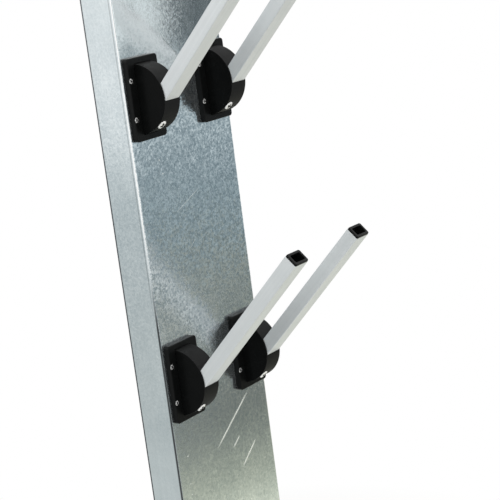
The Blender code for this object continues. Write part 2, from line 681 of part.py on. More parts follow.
def heater_element_mesh():
    """Bent heater tube: rings of points square to the path, joined along it and closed at both ends."""
    path = heater_path()
    sides = 8
    builder = bmesh.new()
    rings = []
    for i, (x, z) in enumerate(path):
        before = path[max(i - 1, 0)]
        after = path[min(i + 1, len(path) - 1)]
        heading = math.atan2(after[1] - before[1], after[0] - before[0])
        ring = []
        for across, depth in circle(HEATER_TUBE_RADIUS, sides):
            place = (x - across * math.sin(heading), MID_DEPTH + depth, z + across * math.cos(heading))
            ring.append(builder.verts.new(place))
        rings.append(ring)
    for first, second in zip(rings, rings[1:]):
        for i in range(sides):
            builder.faces.new((first[i - 1], first[i], second[i], second[i - 1]))
    builder.faces.new(rings[0])
    builder.faces.new(rings[-1])
    return mesh_from(builder, "heater")


def heater_bracket_mesh(place):
    """Sheet bracket standing on the back panel, with a hole for each run of the heater tube."""
    low = HEATER_HEIGHT - BRACKET_MARGIN
    high = HEATER_HEIGHT + (HEATER_RUNS - 1) * HEATER_PITCH + BRACKET_MARGIN
    outline = rectangle(SHEET + FIT, COLUMN_DEPTH / 2 + BRACKET_MARGIN, low, high)
    levels = [HEATER_HEIGHT + run * HEATER_PITCH for run in range(HEATER_RUNS)]
    holes = [circle(HEATER_TUBE_RADIUS + 2 * FIT, 12, (-MID_DEPTH, level)) for level in levels]
    return prism(outline, place, place + BRACKET_THICKNESS, SIDE, holes)


def thermal_cutout_mesh():
    """Round thermal switch on the outer side of the left bracket, clear of the heater tube."""
    start = HEATER_LEFT + BRACKET_INSET - FIT
    centre = (-MID_DEPTH - CUTOUT_RADIUS - HEATER_TUBE_RADIUS - 4 * FIT, HEATER_HEIGHT + 1.5 * HEATER_PITCH)
    return prism(circle(CUTOUT_RADIUS, 20, centre), start - CUTOUT_LENGTH, start, SIDE)


def cable_gland_mesh():
    """Hollow gland through the bottom plate: a flange and a tapering neck below, a thread above."""
    under = -COLUMN_HEIGHT / 2 - FIT
    profile = [
        (GLAND_BORE, under + GLAND_RISE),
        (GLAND_THREAD_RADIUS, under + GLAND_RISE),
        (GLAND_THREAD_RADIUS, under),
        (GLAND_FLANGE_RADIUS, under),
        (GLAND_FLANGE_RADIUS, under - GLAND_DROP * 0.55),
        (GLAND_BORE + 0.003, under - GLAND_DROP),
        (GLAND_BORE, under - GLAND_DROP),
        (GLAND_BORE, under + GLAND_RISE),
    ]
    return turned(profile, 20, PLAN, (GLAND_PLACE, MID_DEPTH, 0))


def gland_nut_mesh():
    """Six-sided nut that holds the gland from inside."""
    low = -COLUMN_HEIGHT / 2 + SHEET + FIT
    centre = (GLAND_PLACE, MID_DEPTH)
    hole = circle(GLAND_THREAD_RADIUS + FIT, 20, centre)
    return prism(circle(GLAND_FLANGE_RADIUS * 1.1, 6, centre), low, low + NUT_THICKNESS, PLAN, [hole])


def terminal_block_mesh():
    """Terminal block on the back panel, with three wire holes through it."""
    width, depth, height = TERMINAL_SIZE
    right = TAB_FACE - SHEET - 6 * FIT
    centre = right - width / 2
    back = SHEET + FIT
    places = [centre + i * width / 3 for i in (-1, 0, 1)]
    holes = [rectangle(x - 0.003, x + 0.003, back + depth / 2 - 0.003, back + depth / 2 + 0.003) for x in places]
    outline = rectangle(right - width, right, back, back + depth)
    flipped = Matrix(((1, 0, 0), (0, -1, 0), (0, 0, 1)))
    return prism(outline, TERMINAL_HEIGHT - height / 2, TERMINAL_HEIGHT + height / 2, flipped, holes)


def add_column(zinc, steel):
    """The case of the column and its screws."""
    add("column_shell", column_shell_mesh(), zinc)
    add("back_panel", back_panel_mesh(), zinc)
    add("top_cap", end_plate_mesh(1), zinc)
    add("inlet_grille", inlet_grille_mesh(), zinc)
    for side, side_name in ((-1, "left"), (1, "right")):
        mesh = case_screw_mesh(side)
        for end, end_name in ((1, "top"), (-1, "bottom")):
            place = (0, -CASE_SCREW_SETBACK, end * (COLUMN_HEIGHT / 2 - CASE_SCREW_INSET))
            add(f"case_screw_{end_name}_{side_name}", mesh, steel, place, round_angle=35)


def add_holders(black, aluminium, steel):
    """The four holders: fixed pieces under one empty, pieces that swivel under another on the pivot."""
    plate = holder_plate_mesh()
    drum = swivel_drum_mesh()
    tube = air_tube_mesh()
    plug = tube_plug_mesh()
    clamp = clamp_screw_mesh()
    screw = plate_screw_mesh()
    pin = prism(circle(PIN_RADIUS, 20), -PIN_LENGTH / 2, PIN_LENGTH / 2, SIDE)
    for name, (x, z) in HOLDER_PLACES.items():
        pivot = (x, PIVOT_PLACE, z)
        fixed = add_axis(f"holder_{name}", pivot)
        arm = add_axis(f"arm_{name}", pivot)
        add(f"holder_plate_{name}", plate, black, parent=fixed)
        add(f"pivot_pin_{name}", pin, steel, parent=fixed, round_angle=35)
        for i, (screw_x, screw_z) in enumerate(plate_screw_places(), 1):
            add(f"plate_screw_{name}_{i}", screw, steel, (screw_x, 0, screw_z), fixed, 35)
        add(f"swivel_drum_{name}", drum, black, parent=arm, round_angle=20)
        add(f"air_tube_{name}", tube, aluminium, parent=arm)
        add(f"tube_plug_{name}", plug, black, parent=arm)
        add(f"clamp_screw_{name}", clamp, steel, parent=arm, round_angle=35)


def add_blower(zinc, black, steel):
    """The cross-flow blower; its pieces are drawn about the wheel's axis."""
    centre = (BLOWER_LEFT + WHEEL_LENGTH / 2, MID_DEPTH, BLOWER_HEIGHT)
    add("blower_housing", blower_housing_mesh(), zinc, centre)
    add("wheel_bearing", wheel_bearing_mesh(), black, centre, round_angle=35)
    add("fan_motor", fan_motor_mesh(), black, centre, round_angle=35)
    add("blower_wheel", blower_wheel_mesh(), steel, centre, round_angle=20)


def add_heater(zinc, black, steel):
    """The heater, its brackets and its thermal cut-out."""
    left = HEATER_LEFT + BRACKET_INSET
    right = HEATER_LEFT + HEATER_RUN - BRACKET_INSET
    add("heater_element", heater_element_mesh(), steel, round_angle=50)
    add("heater_bracket_left", heater_bracket_mesh(left), zinc)
    add("heater_bracket_right", heater_bracket_mesh(right), zinc)
    add("thermal_cutout", thermal_cutout_mesh(), black, round_angle=35)


def add_electrical_entry(black):
    """The cable gland, its nut and the terminal block."""
    add("cable_gland", cable_gland_mesh(), black, round_angle=35)
    add("gland_nut", gland_nut_mesh(), black)
    add("terminal_block", terminal_block_mesh(), black)


def build():
    """Empty the scene and build every piece of the dryer."""
    for old in list(bpy.data.objects):
        bpy.data.objects.remove(old)
    zinc = material("galvanised_steel", (0.52, 0.56, 0.57), 0.42, 1.0)
    aluminium = material("aluminium", (0.78, 0.78, 0.77), 0.30, 1.0)
    black = material("black_plastic", (0.012, 0.012, 0.013), 0.35, 0.0)
    steel = material("bright_steel", (0.75, 0.74, 0.71), 0.25, 1.0)
    add_column(zinc, steel)
    add_holders(black, aluminium, steel)
    add_blower(zinc, black, steel)
    add_heater(zinc, black, steel)
    add_electrical_entry(black)


build()
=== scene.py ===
"""Looks of a wall-mounted boot dryer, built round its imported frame.

Metres, +Z up. The wall is the plane y = 0 and the front faces -Y, as in the frame.
"""

import math

import bmesh
import bpy
import numpy as np
from mathutils import Matrix, Vector


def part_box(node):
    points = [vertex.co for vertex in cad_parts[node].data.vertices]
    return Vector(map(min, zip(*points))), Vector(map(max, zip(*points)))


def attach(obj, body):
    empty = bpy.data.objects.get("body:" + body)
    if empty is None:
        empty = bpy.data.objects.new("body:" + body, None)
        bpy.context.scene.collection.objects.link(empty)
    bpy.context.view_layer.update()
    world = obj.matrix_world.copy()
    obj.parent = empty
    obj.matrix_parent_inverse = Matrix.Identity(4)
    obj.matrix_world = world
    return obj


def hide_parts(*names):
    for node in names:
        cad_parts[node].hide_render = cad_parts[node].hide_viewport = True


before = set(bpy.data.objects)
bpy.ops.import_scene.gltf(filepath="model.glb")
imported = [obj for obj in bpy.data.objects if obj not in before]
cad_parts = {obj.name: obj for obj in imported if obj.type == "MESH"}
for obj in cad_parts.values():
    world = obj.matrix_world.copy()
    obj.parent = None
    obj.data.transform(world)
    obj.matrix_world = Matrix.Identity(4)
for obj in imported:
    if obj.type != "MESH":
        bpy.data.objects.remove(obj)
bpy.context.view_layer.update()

# Fit between pieces, the sheet of the column, how far a cutting tool reaches past what it cuts, and the angle
# up to which faces are shaded as one
FIT = 0.0003
SHEET = 0.0015
BEND_RADIUS = 0.003
OVERLAP = 0.001
SMOOTH_ANGLE = math.radians(32)

# Holder plates, measured from the pivot of their drum
PLATE_SIZE = (0.0640, 0.1130)
PLATE_BACK = -0.00305
PLATE_FRONT = 0.00465
PLATE_CORNER = 0.0048
PLATE_EDGE = 0.0011
PLATE_SLOT = (0.0344, 0.0962)
PLATE_SLOT_CORNER = 0.0008
PLATE_SLOT_EASE = 0.0005
PLATE_SCREWS = (0.0270, 0.0263)
POCKET_RADIUS = 0.0042
POCKET_EASE = 0.0004
POCKET_FLOOR = PLATE_FRONT - 0.0034

# Swivel drums
DRUM_RADIUS = 0.0478
DRUM_WIDTH = 0.0338
DRUM_EDGE = 0.0009
HUB_RADIUS = 0.00635
PIVOT_OUT = 0.00335
STOP_THICKNESS = 0.0024
STOP_RADIUS = DRUM_RADIUS + 0.0034
FOLD_ANGLE = math.radians(45)

# Air tubes and their plugs
TUBE_ANGLE = math.radians(45)
TUBE_SIZE = (0.030, 0.020)
TUBE_WALL = 0.002
TUBE_CORNER = 0.0011
TUBE_INNER_CORNER = 0.0005
TUBE_EASE = 0.0003
TUBE_OFFSET = 0.0262
TUBE_START = -0.018
TUBE_END = 0.282
SEAT_BOTTOM = TUBE_OFFSET + TUBE_SIZE[1] / 2 + FIT
PLUG_LIP = 0.003
PLUG_DEPTH = 0.012
PLUG_WALL = 0.0018
PLUG_CORNER = 0.003
PLUG_SOFT = 0.0013
PLUG_BODY_CORNER = 0.0006
PLUG_MOUTH_CORNER = 0.002
PLUG_MOUTH_SOFT = 0.0007

# Screws, as head radius, head height, shank radius and length
SMALL_SCREW = (0.0039, 0.0026, 0.0019, 0.009)
CLAMP_SCREW = (0.0067, 0.0026, 0.0025, 0.0120)
CLAMP_PLACE = (-0.0084, -0.004)
CLAMP_SEAT = math.sqrt(DRUM_RADIUS ** 2 - (abs(CLAMP_PLACE[1]) + CLAMP_SCREW[0]) ** 2)

# Crown of a screw and its cross recess, in shares of the head's radius and height
CROWN_FALL = 0.45
CROWN_POWER = 2.4
RECESS_ARM = 0.20
RECESS_ARM_SLOPE = 0.06
RECESS_REACH = 0.70
RECESS_END_SLOPE = 0.16
RECESS_DEPTH = 0.62
RECESS_EDGE = 0.94

# Directions that carry (across, along, height) of a piece into the model; left, sideways and along the tube
# mirror it too
COSINE = math.cos(TUBE_ANGLE)
SINE = math.sin(TUBE_ANGLE)
FACING = {
    "front": Matrix(((1, 0, 0), (0, 0, -1), (0, 1, 0))),
    "left": Matrix(((0, 0, -1), (1, 0, 0), (0, 1, 0))),
    "right": Matrix(((0, 0, 1), (1, 0, 0), (0, 1, 0))),
}
SIDEWAYS = Matrix(((0, 0, 1), (-1, 0, 0), (0, 1, 0)))
ALONG_TUBE = Matrix(((1, 0, 0), (0, -SINE, -COSINE), (0, -COSINE, SINE)))
ACROSS_TUBE = Matrix(((1, 0, 0), (0, -COSINE, -SINE), (0, SINE, -COSINE)))

HOLDERS = ("upper_left", "upper_right", "lower_left", "lower_right")


def centre_of(node):
    """Middle of a CAD node's box."""
    low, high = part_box(node)
    return (Vector(low) + Vector(high)) / 2


PIVOTS = {name: centre_of(f"pivot_pin_{name}") for name in HOLDERS}


def quads(rows, columns, closed_rows=False, closed_columns=False):
    """Corner numbers of the faces of a grid; a closed direction joins its last line to its first."""
    index = np.arange(rows * columns).reshape(rows, columns)
    if closed_rows:
        index = np.vstack([index, index[:1]])
    if closed_columns:
        index = np.hstack([index, index[:, :1]])
    corners = (index[:-1, :-1], index[1:, :-1], index[1:, 1:], index[:-1, 1:])
    return np.stack(corners, axis=-1).reshape(-1, 4)


def mesh_of(name, points, faces):
    """A mesh with its doubles merged and its faces turned outward."""
    mesh = bpy.data.meshes.new(name)
    mesh.from_pydata(points.reshape(-1, 3).tolist(), [], faces)
    builder = bmesh.new()
    builder.from_mesh(mesh)
    bmesh.ops.remove_doubles(builder, verts=builder.verts, dist=1e-7)
    bmesh.ops.recalc_face_normals(builder, faces=builder.faces)
    builder.to_mesh(mesh)
    builder.free()
    return mesh


def lofted(name, rings):
    """A solid through rings of equal point counts: faces from ring to ring, and a flat cap at each end."""
    count, around = rings.shape[:2]
    faces = quads(count, around, closed_columns=True).tolist()
    faces.append(list(range(around)))
    faces.append(list(range((count - 1) * around, count * around)))
    return mesh_of(name, rings, faces)


def looped(name, rings):
    """A tube-shaped solid: rings joined one to the next, and the last back to the first."""
    return mesh_of(name, rings, quads(*rings.shape[:2], True, True).tolist())


def turned_points(radius, height, angle):
    """Points of a profile turned about the height axis: x = r cos a, y = r sin a, z = h."""
    return np.stack(np.broadcast_arrays(radius * np.cos(angle), radius * np.sin(angle), height), axis=-1)


def turned(name, profile, steps):
    """A solid from a profile of (radius, height) turned about the height axis."""
    angle = np.linspace(0, 2 * np.pi, steps, endpoint=False)
    radius, height = np.asarray(profile).T[:, :, None]
    points = turned_points(radius, height, angle)
    return mesh_of(name, points, quads(len(profile), steps, closed_columns=True).tolist())


def rounded_outline(width, height, radius, steps):
    """A rectangle with round corners: each corner's centre plus a quarter circle about it."""
    quarter = np.repeat(np.arange(4), steps + 1)
    angle = np.tile(np.linspace(0, np.pi / 2, steps + 1), 4) + quarter * np.pi / 2
    side = np.pi / 4 + quarter * np.pi / 2
    x = (width / 2 - radius) * np.sign(np.cos(side)) + radius * np.cos(angle)
    y = (height / 2 - radius) * np.sign(np.sin(side)) + radius * np.sin(angle)
    return np.stack([x, y], axis=-1)


def ring_at(outline, height):
    """A flat outline as a ring of points at one height."""
    return np.column_stack([outline, np.full(len(outline), height)])


def stacked(outlines, heights):
    """Flat outlines as rings of points, each at its own height."""
    return np.stack([ring_at(outline, height) for outline, height in zip(outlines, heights)])


def arc(radius, start, end, steps):
    """Points along an arc about the origin, both ends included."""
    angle = np.linspace(start, end, steps + 1)
    return radius * np.stack([np.cos(angle), np.sin(angle)], axis=-1)


def placed(mesh, directions, place=(0, 0, 0)):
    """The mesh carried by a set of directions and moved to a place; a mirrored one has its faces inward."""
    mesh.transform(Matrix.Translation(place) @ directions.to_4x4())
    return mesh


def cut(mesh, *tools):
    """The mesh less some tools, one after another; all are used up."""
    for tool in tools:
        target = bpy.data.objects.new("target", mesh)
        cutter = bpy.data.objects.new("cutter", tool)
        for item in (target, cutter):
            bpy.context.scene.collection.objects.link(item)
        step = target.modifiers.new("Cut", "BOOLEAN")
        step.operation = "DIFFERENCE"
        step.solver = "EXACT"
        step.object = cutter
        finished = target.evaluated_get(bpy.context.evaluated_depsgraph_get())
        result = bpy.data.meshes.new_from_object(finished)
        for item in (target, cutter):
            bpy.data.objects.remove(item)
        for used in (mesh, tool):
            bpy.data.meshes.remove(used)
        mesh = result
    return mesh


def add_piece(name, mesh, body, finishes, nodes, sheet=0):
    """A finished piece that rides on a body and stands for CAD nodes; a sheet gets its thickness inward."""
    mesh.name = name
    piece = bpy.data.objects.new(name, mesh)
    bpy.context.scene.collection.objects.link(piece)
    for finish in finishes:
        mesh.materials.append(finish)
    mesh.shade_smooth()
    mesh.set_sharp_from_angle(angle=SMOOTH_ANGLE)
    if sheet:
        wall = piece.modifiers.new("Sheet", "SOLIDIFY")
        wall.thickness = sheet
        wall.offset = -1
    flats = piece.modifiers.new("Flat faces", "WEIGHTED_NORMAL")
    flats.keep_sharp = True
    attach(piece, body)
    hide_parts(*nodes)


# Shader nodes


def add_node(tree, kind, inputs, **settings):
    """A shader node; an input is a value, or a socket to link from."""
    made = tree.nodes.new(f"ShaderNode{kind}")
    for name, value in settings.items():
        setattr(made, name, value)
    for key, value in inputs.items():
        if isinstance(value, bpy.types.NodeSocket):
            tree.links.new(value, made.inputs[key])
        else:
            made.inputs[key].default_value = value
    return made


def calculate(tree, operation, first, second=0.0, clamp=False):
    """The result of one sum on two values."""
    settings = {"operation": operation, "use_clamp": clamp}
    return add_node(tree, "Math", {0: first, 1: second}, **settings).outputs[0]


def product(tree, first, *others):
    """The product of some values."""
    for other in others:
        first = calculate(tree, "MULTIPLY", first, other)
    return first


def calculate_vector(tree, operation, inputs, output="Vector"):
    """The result of one sum on vectors."""
    return add_node(tree, "VectorMath", inputs, operation=operation).outputs[output]


def parts_of(tree, vector):
    """The X, Y and Z of a vector."""
    return add_node(tree, "SeparateXYZ", {0: vector}).outputs


def spread(tree, value, from_low, from_high, to_low, to_high):
    """A value carried from one range to another, and held inside it."""
    limits = {"From Min": from_low, "From Max": from_high, "To Min": to_low, "To Max": to_high}
    return add_node(tree, "MapRange", {"Value": value, **limits}).outputs["Result"]


def blended(tree, factor, first, second):
    """Two colours mixed by a factor; each is a tint or a socket to link from."""
    first, second = ((*tint, 1) if isinstance(tint, tuple) else tint for tint in (first, second))
    return add_node(tree, "Mix", {0: factor, 6: first, 7: second}, data_type="RGBA").outputs[2]


def blended_value(tree, factor, first, second):
    """Two values mixed by a factor."""
    return add_node(tree, "Mix", {0: factor, 2: first, 3: second}).outputs[0]


def noise(tree, place, scale, detail=3.0, roughness=0.5):
    """Soft noise between nought and one."""
    settings = {"Vector": place, "Scale": scale, "Detail": detail, "Roughness": roughness}
    return add_node(tree, "TexNoise", settings).outputs["Fac"]


def mapped(tree, place, location=(0, 0, 0), rotation=(0, 0, 0), scale=(1, 1, 1), kind="POINT"):
    """Coordinates moved, turned and stretched by a Mapping node."""
    settings = {"Vector": place, "Location": location, "Rotation": rotation, "Scale": scale}
    return add_node(tree, "Mapping", settings, vector_type=kind).outputs["Vector"]


def new_group(name, sockets_in, sockets_out):
    """An empty node group with named sockets, each given as (name, kind)."""
    group = bpy.data.node_groups.new(name, "ShaderNodeTree")
    for direction, sockets in (("INPUT", sockets_in), ("OUTPUT", sockets_out)):
        for label, kind in sockets:
            group.interface.new_socket(label, in_out=direction, socket_type=f"NodeSocket{kind}")
    start = group.nodes.new("NodeGroupInput")
    end = group.nodes.new("NodeGroupOutput")
    return group, start.outputs, end.inputs


def use_group(tree, group, inputs):
    """One use of a node group in a material."""
    return add_node(tree, "Group", inputs, node_tree=group).outputs


def spangle_group():
    """Zinc crystals: each Voronoi cell has its own shade, and its own small lean of the surface."""
    group, given, out = new_group(
        "spangle",
        (("Place", "Vector"), ("Scale", "Float"), ("Lean", "Float")),
        (("Shade", "Float"), ("Normal", "Vector")),
    )
    wobble = add_node(group, "TexNoise", {"Vector": given["Place"], "Scale": 260.0})
    shift = calculate_vector(group, "SCALE", {0: wobble.outputs["Color"], "Scale": 0.0022})
    place = calculate_vector(group, "ADD", {0: given["Place"], 1: shift})
    voronoi = add_node(group, "TexVoronoi", {"Vector": place, "Scale": given["Scale"]})
    cells = voronoi.outputs["Color"]
    centred = calculate_vector(group, "SUBTRACT", {0: cells, 1: (0.5, 0.5, 0.5)})
    lean = calculate_vector(group, "SCALE", {0: centred, "Scale": given["Lean"]})
    facing = group.nodes.new("ShaderNodeNewGeometry").outputs["Normal"]
    tilted = calculate_vector(group, "ADD", {0: facing, 1: lean})
    normal = calculate_vector(group, "NORMALIZE", {0: tilted})
    shade = add_node(group, "SeparateColor", {0: cells}).outputs[0]
    group.links.new(shade, out["Shade"])
    group.links.new(normal, out["Normal"])
    return group


def scratch_group():
    """One scratch along x from 0 to 1 of the given coordinates, one unit wide and thinner at its ends."""
    group, given, out = new_group("scratch", (("Place", "Vector"),), (("Mask", "Float"),))
    parts = parts_of(group, given["Place"])
    rest = calculate(group, "SUBTRACT", 1.0, parts["X"])
    taper = calculate(group, "MULTIPLY", product(group, parts["X"], rest), 6.0, True)
    away = calculate(group, "ABSOLUTE", parts["Z"])
    near = calculate(group, "MULTIPLY", calculate(group, "SUBTRACT", 1.0, away, True), 1.8, True)
    broken = spread(group, noise(group, given["Place"], 9.0), 0.32, 0.48, 0.45, 1.0)
    group.links.new(product(group, taper, near, broken), out["Mask"])
    return group


def grain_group():
    """Fine surface grain: two sizes of noise as one height."""
    group, given, out = new_group("grain", (("Place", "Vector"), ("Scale", "Float")), (("Height", "Float"),))
    coarse = product(group, noise(group, given["Place"], given["Scale"], 4.0, 0.6), 0.65)
    fine_scale = product(group, given["Scale"], 3.3)
    fine = product(group, noise(group, given["Place"], fine_scale, 2.0, 0.5), 0.35)
    group.links.new(calculate(group, "ADD", coarse, fine), out["Height"])
    return group


def dust_group():
    """Dust: thicker on faces that look up, broken by noise."""
    group, given, out = new_group("dust", (("Place", "Vector"), ("Amount", "Float")), (("Mask", "Float"),))
    facing = group.nodes.new("ShaderNodeNewGeometry").outputs["Normal"]
    upward = parts_of(group, facing)["Z"]
    lying = spread(group, upward, -0.2, 1.0, 0.12, 1.0)
    patches = spread(group, noise(group, given["Place"], 70.0, 5.0, 0.65), 0.42, 0.72, 0.0, 1.0)
    mask = calculate(group, "MULTIPLY", product(group, lying, patches), given["Amount"], True)
    group.links.new(mask, out["Mask"])
    return group


SPANGLE = spangle_group()
SCRATCH = scratch_group()
GRAIN = grain_group()
DUST = dust_group()


def new_material(name):
    """A Principled material with its node tree, shader and Object coordinates."""
    made = bpy.data.materials.new(name)
    made.use_nodes = True
    tree = made.node_tree
    shader = tree.nodes["Principled BSDF"]
    place = tree.nodes.new("ShaderNodeTexCoord").outputs["Object"]
    return made, tree, shader, place


def connect(tree, shader, **sockets):
    """Links values to the shader's sockets; an underscore stands for a space."""
    for name, value in sockets.items():
        tree.links.new(value, shader.inputs[name.replace("_", " ")])


def bumped(tree, height, strength, distance, normal=None):
    """A surface normal from a height."""
    inputs = {"Height": height, "Strength": strength, "Distance": distance}
    if normal:
        inputs["Normal"] = normal
    return add_node(tree, "Bump", inputs).outputs["Normal"]


# Tints of each material between its dark and its light parts, and of the dust on it
ZINC_DARK = (0.430, 0.500, 0.535)
ZINC_LIGHT = (0.935, 0.975, 0.985)
ZINC_DUST = (0.46, 0.45, 0.42)
PLASTIC_DARK = (0.0032, 0.0036, 0.0036)
PLASTIC_LIGHT = (0.0052, 0.0056, 0.0056)
PLASTIC_DUST = (0.16, 0.155, 0.145)
ALUMINIUM_DARK = (0.556, 0.586, 0.598)
ALUMINIUM_LIGHT = (0.676, 0.704, 0.714)
ALUMINIUM_DUST = (0.50, 0.49, 0.46)

# How metallic zinc is, tints of the shell's scratches, painted shade and painted highlight, and how far
# behind the front its sides start to bend
ZINC_METALLIC = 0.95
SCRATCH_TINT = (0.97, 0.98, 0.94)
# Dark tint of the painted shade lines on the shell and of the painted dark reflection on its bends
PAINTED_SHADE_TINT = (0.035, 0.038, 0.042)
# Near-white tint of the painted highlight along the upper part of each bend
PAINTED_HIGHLIGHT_TINT = (0.97, 0.98, 0.98)
BEND_LINE = 0.0042

# Scratches and nicks on the column's front: both ends as (x, z), the width and the strength
FRONT_SCRATCHES = (
    ((0.069, -0.169), (-0.022, -0.231), 0.0019, 1.0),
    ((0.036, -0.228), (0.017, -0.241), 0.0017, 0.9),
    ((0.073, -0.246), (0.032, -0.278), 0.0019, 1.0),
    ((0.020, 0.151), (-0.040, 0.126), 0.0009, 0.35),
    ((-0.004, 0.082), (-0.021, 0.069), 0.0009, 0.30),
    ((-0.069, 0.037), (-0.086, 0.026), 0.0010, 0.35),
    ((-0.0895, -0.216), (-0.0865, -0.2165), 0.0012, 0.8),
    ((-0.0915, -0.257), (-0.0885, -0.2575), 0.0012, 0.8),
    ((-0.0915, -0.273), (-0.0885, -0.2735), 0.0012, 0.7),
    ((-0.0615, 0.206), (-0.0585, 0.2055), 0.0012, 0.7),
    ((-0.0575, 0.186), (-0.0545, 0.1855), 0.0012, 0.6),
)


def front_scratches(tree, place):
    """The scratches: each has its coordinates turned along it, and the strongest counts."""
    total = None
    for (x, z), (end_x, end_z), width, strength in FRONT_SCRATCHES:
        length = math.hypot(end_x - x, end_z - z)
        heading = math.atan2(end_z - z, end_x - x)
        along = mapped(tree, place, (x, 0, z), (0, -heading, 0), (length, 1, width), "TEXTURE")
        mask = product(tree, use_group(tree, SCRATCH, {"Place": along})["Mask"], strength)
        total = calculate(tree, "MAXIMUM", total, mask) if total else mask
    return total


def streaks(tree, place):
    """Faint streaks up and down the sheet."""
    return noise(tree, mapped(tree, place, scale=(160, 160, 5)), 1.0, 3.0, 0.6)


def painted_shade_lines(tree, place):
    """Painted shade lines of the shell: along its cut rear edge, and higher up a faint one where each side
    bends.
    """
    parts = parts_of(tree, place)
    rear = spread(tree, parts["Y"], -0.0030, -0.0020, 0.0, 0.9)
    bend_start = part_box("column_shell")[0][1] + BEND_LINE
    away = calculate(tree, "ABSOLUTE", calculate(tree, "SUBTRACT", parts["Y"], bend_start))
    faint = spread(tree, parts["Z"], -0.02, 0.05, 0.0, 0.35)
    return calculate(tree, "MAXIMUM", rear, spread(tree, away, 0.0003, 0.0014, faint, 0.0))


def along_bends(tree, sideways, start, end):
    """One where a bend faces sideways by more than a start and less than an end, and nought elsewhere."""
    rising = spread(tree, sideways, start - 0.13, start, 0.0, 1.0)
    return product(tree, rising, spread(tree, sideways, end, end + 0.10, 1.0, 0.0))


def zinc_crystals(tree, place, sideways, height):
    """Shade and surface normal of the crystals, which lean less at the top, low down and to the sides."""
    lean = product(
        tree,
        spread(tree, sideways, 0.02, 0.20, 0.065, 0.0),
        spread(tree, height, 0.26, 0.37, 1.0, 0.18),
        spread(tree, height, -0.20, 0.02, 0.45, 1.0),
    )
    fine = use_group(tree, SPANGLE, {"Place": place, "Scale": 320.0, "Lean": lean})
    feathers = spread(tree, noise(tree, place, 360.0, 3.0, 0.6), 0.36, 0.64, 0.0, 1.0)
    return blended_value(tree, 0.5, fine["Shade"], feathers), fine["Normal"]


def zinc_shade(tree, place, sideways, height, crystals):
    """Light and dark of the zinc: a soft mottle, crystals that fade at the top, low down and sideways, and a
    painted sheen near the top.
    """
    strength = product(
        tree,
        spread(tree, sideways, 0.3, 0.9, 1.0, 0.30),
        spread(tree, height, -0.22, 0.06, 0.22, 1.0),
        spread(tree, height, 0.25, 0.40, 1.0, 0.35),
    )
    clouds = blended_value(tree, 0.35, noise(tree, place, 13.0, 4.0, 0.55), streaks(tree, place))
    shade = blended_value(tree, 0.30, blended_value(tree, strength, 0.5, crystals), clouds)
    # Painted sheen: the zinc is made lighter near the top, most on the front
    painted_sheen = spread(tree, height, 0.27, 0.40, 0.0, 0.24)
    painted_sheen = product(tree, painted_sheen, spread(tree, sideways, 0.1, 0.4, 1.0, 0.15))
    return calculate(tree, "ADD", shade, painted_sheen)


def shell_scratches_and_painted_light(tree, place, sideways, height, colour, rough):
    """Colour and roughness with scratches, painted shade lines, a painted dark reflection and a painted
    highlight on the bends, and the highlight's mask.
    """
    scratches = front_scratches(tree, place)
    colour = blended(tree, scratches, colour, SCRATCH_TINT)
    rough = blended_value(tree, scratches, rough, 0.6)
    # Painted shade: a dark line along the shell's cut rear edge, and a faint one where each side bends
    colour = blended(tree, painted_shade_lines(tree, place), colour, PAINTED_SHADE_TINT)
    # Painted dark reflection: below about z = 0.02 each bend is darkened to the painted shade tint
    painted_dark_reflection = along_bends(tree, sideways, 0.36, 0.88)
    painted_dark_reflection = product(tree, painted_dark_reflection, spread(tree, height, -0.02, 0.05, 0.92, 0.0))
    colour = blended(tree, painted_dark_reflection, colour, PAINTED_SHADE_TINT)
    # Painted highlight: above about z = 0.02 each bend is made near-white, rougher and less metallic
    pale = along_bends(tree, sideways, 0.55, 0.82)
    pale = product(tree, pale, spread(tree, height, 0.02, 0.13, 0.0, 1.0))
    colour = blended(tree, pale, colour, PAINTED_HIGHLIGHT_TINT)
    rough = blended_value(tree, pale, rough, 0.35)
    return colour, rough, pale


def galvanised(name, on_shell=False):
    """Hot-dipped zinc: fine feathery crystals over a soft mottle, with dust and a painted sheen near the top,
    and on the shell its scratches and painted shade and highlight.
    """
    made, tree, shader, place = new_material(name)
    facing = tree.nodes.new("ShaderNodeNewGeometry").outputs["Normal"]
    sideways = calculate(tree, "ABSOLUTE", parts_of(tree, facing)["X"])
    height = parts_of(tree, place)["Z"]
    crystals, normal = zinc_crystals(tree, place, sideways, height)
    shade = zinc_shade(tree, place, sideways, height, crystals)
    colour = blended(tree, spread(tree, shade, 0.29, 0.71, 0.0, 1.0), ZINC_DARK, ZINC_LIGHT)
    rough = spread(tree, shade, 0.2, 0.8, 0.21, 0.14)
    rough = product(tree, rough, spread(tree, height, 0.20, 0.36, 1.0, 0.60))
    shader.inputs["Metallic"].default_value = ZINC_METALLIC
    if on_shell:
        colour, rough, pale = shell_scratches_and_painted_light(tree, place, sideways, height, colour, rough)
        # Where the bends have their painted highlight, the zinc is made less metallic
        connect(tree, shader, Metallic=spread(tree, pale, 0.0, 1.0, ZINC_METALLIC, 0.15))
    dust = use_group(tree, DUST, {"Place": place, "Amount": 0.20})["Mask"]
    colour = blended(tree, dust, colour, ZINC_DUST)
    rough = calculate(tree, "ADD", rough, product(tree, dust, 0.25))
    normal = bumped(tree, crystals, 0.05, 0.0004, normal)
    connect(tree, shader, Base_Color=colour, Roughness=rough, Normal=normal)
    return made


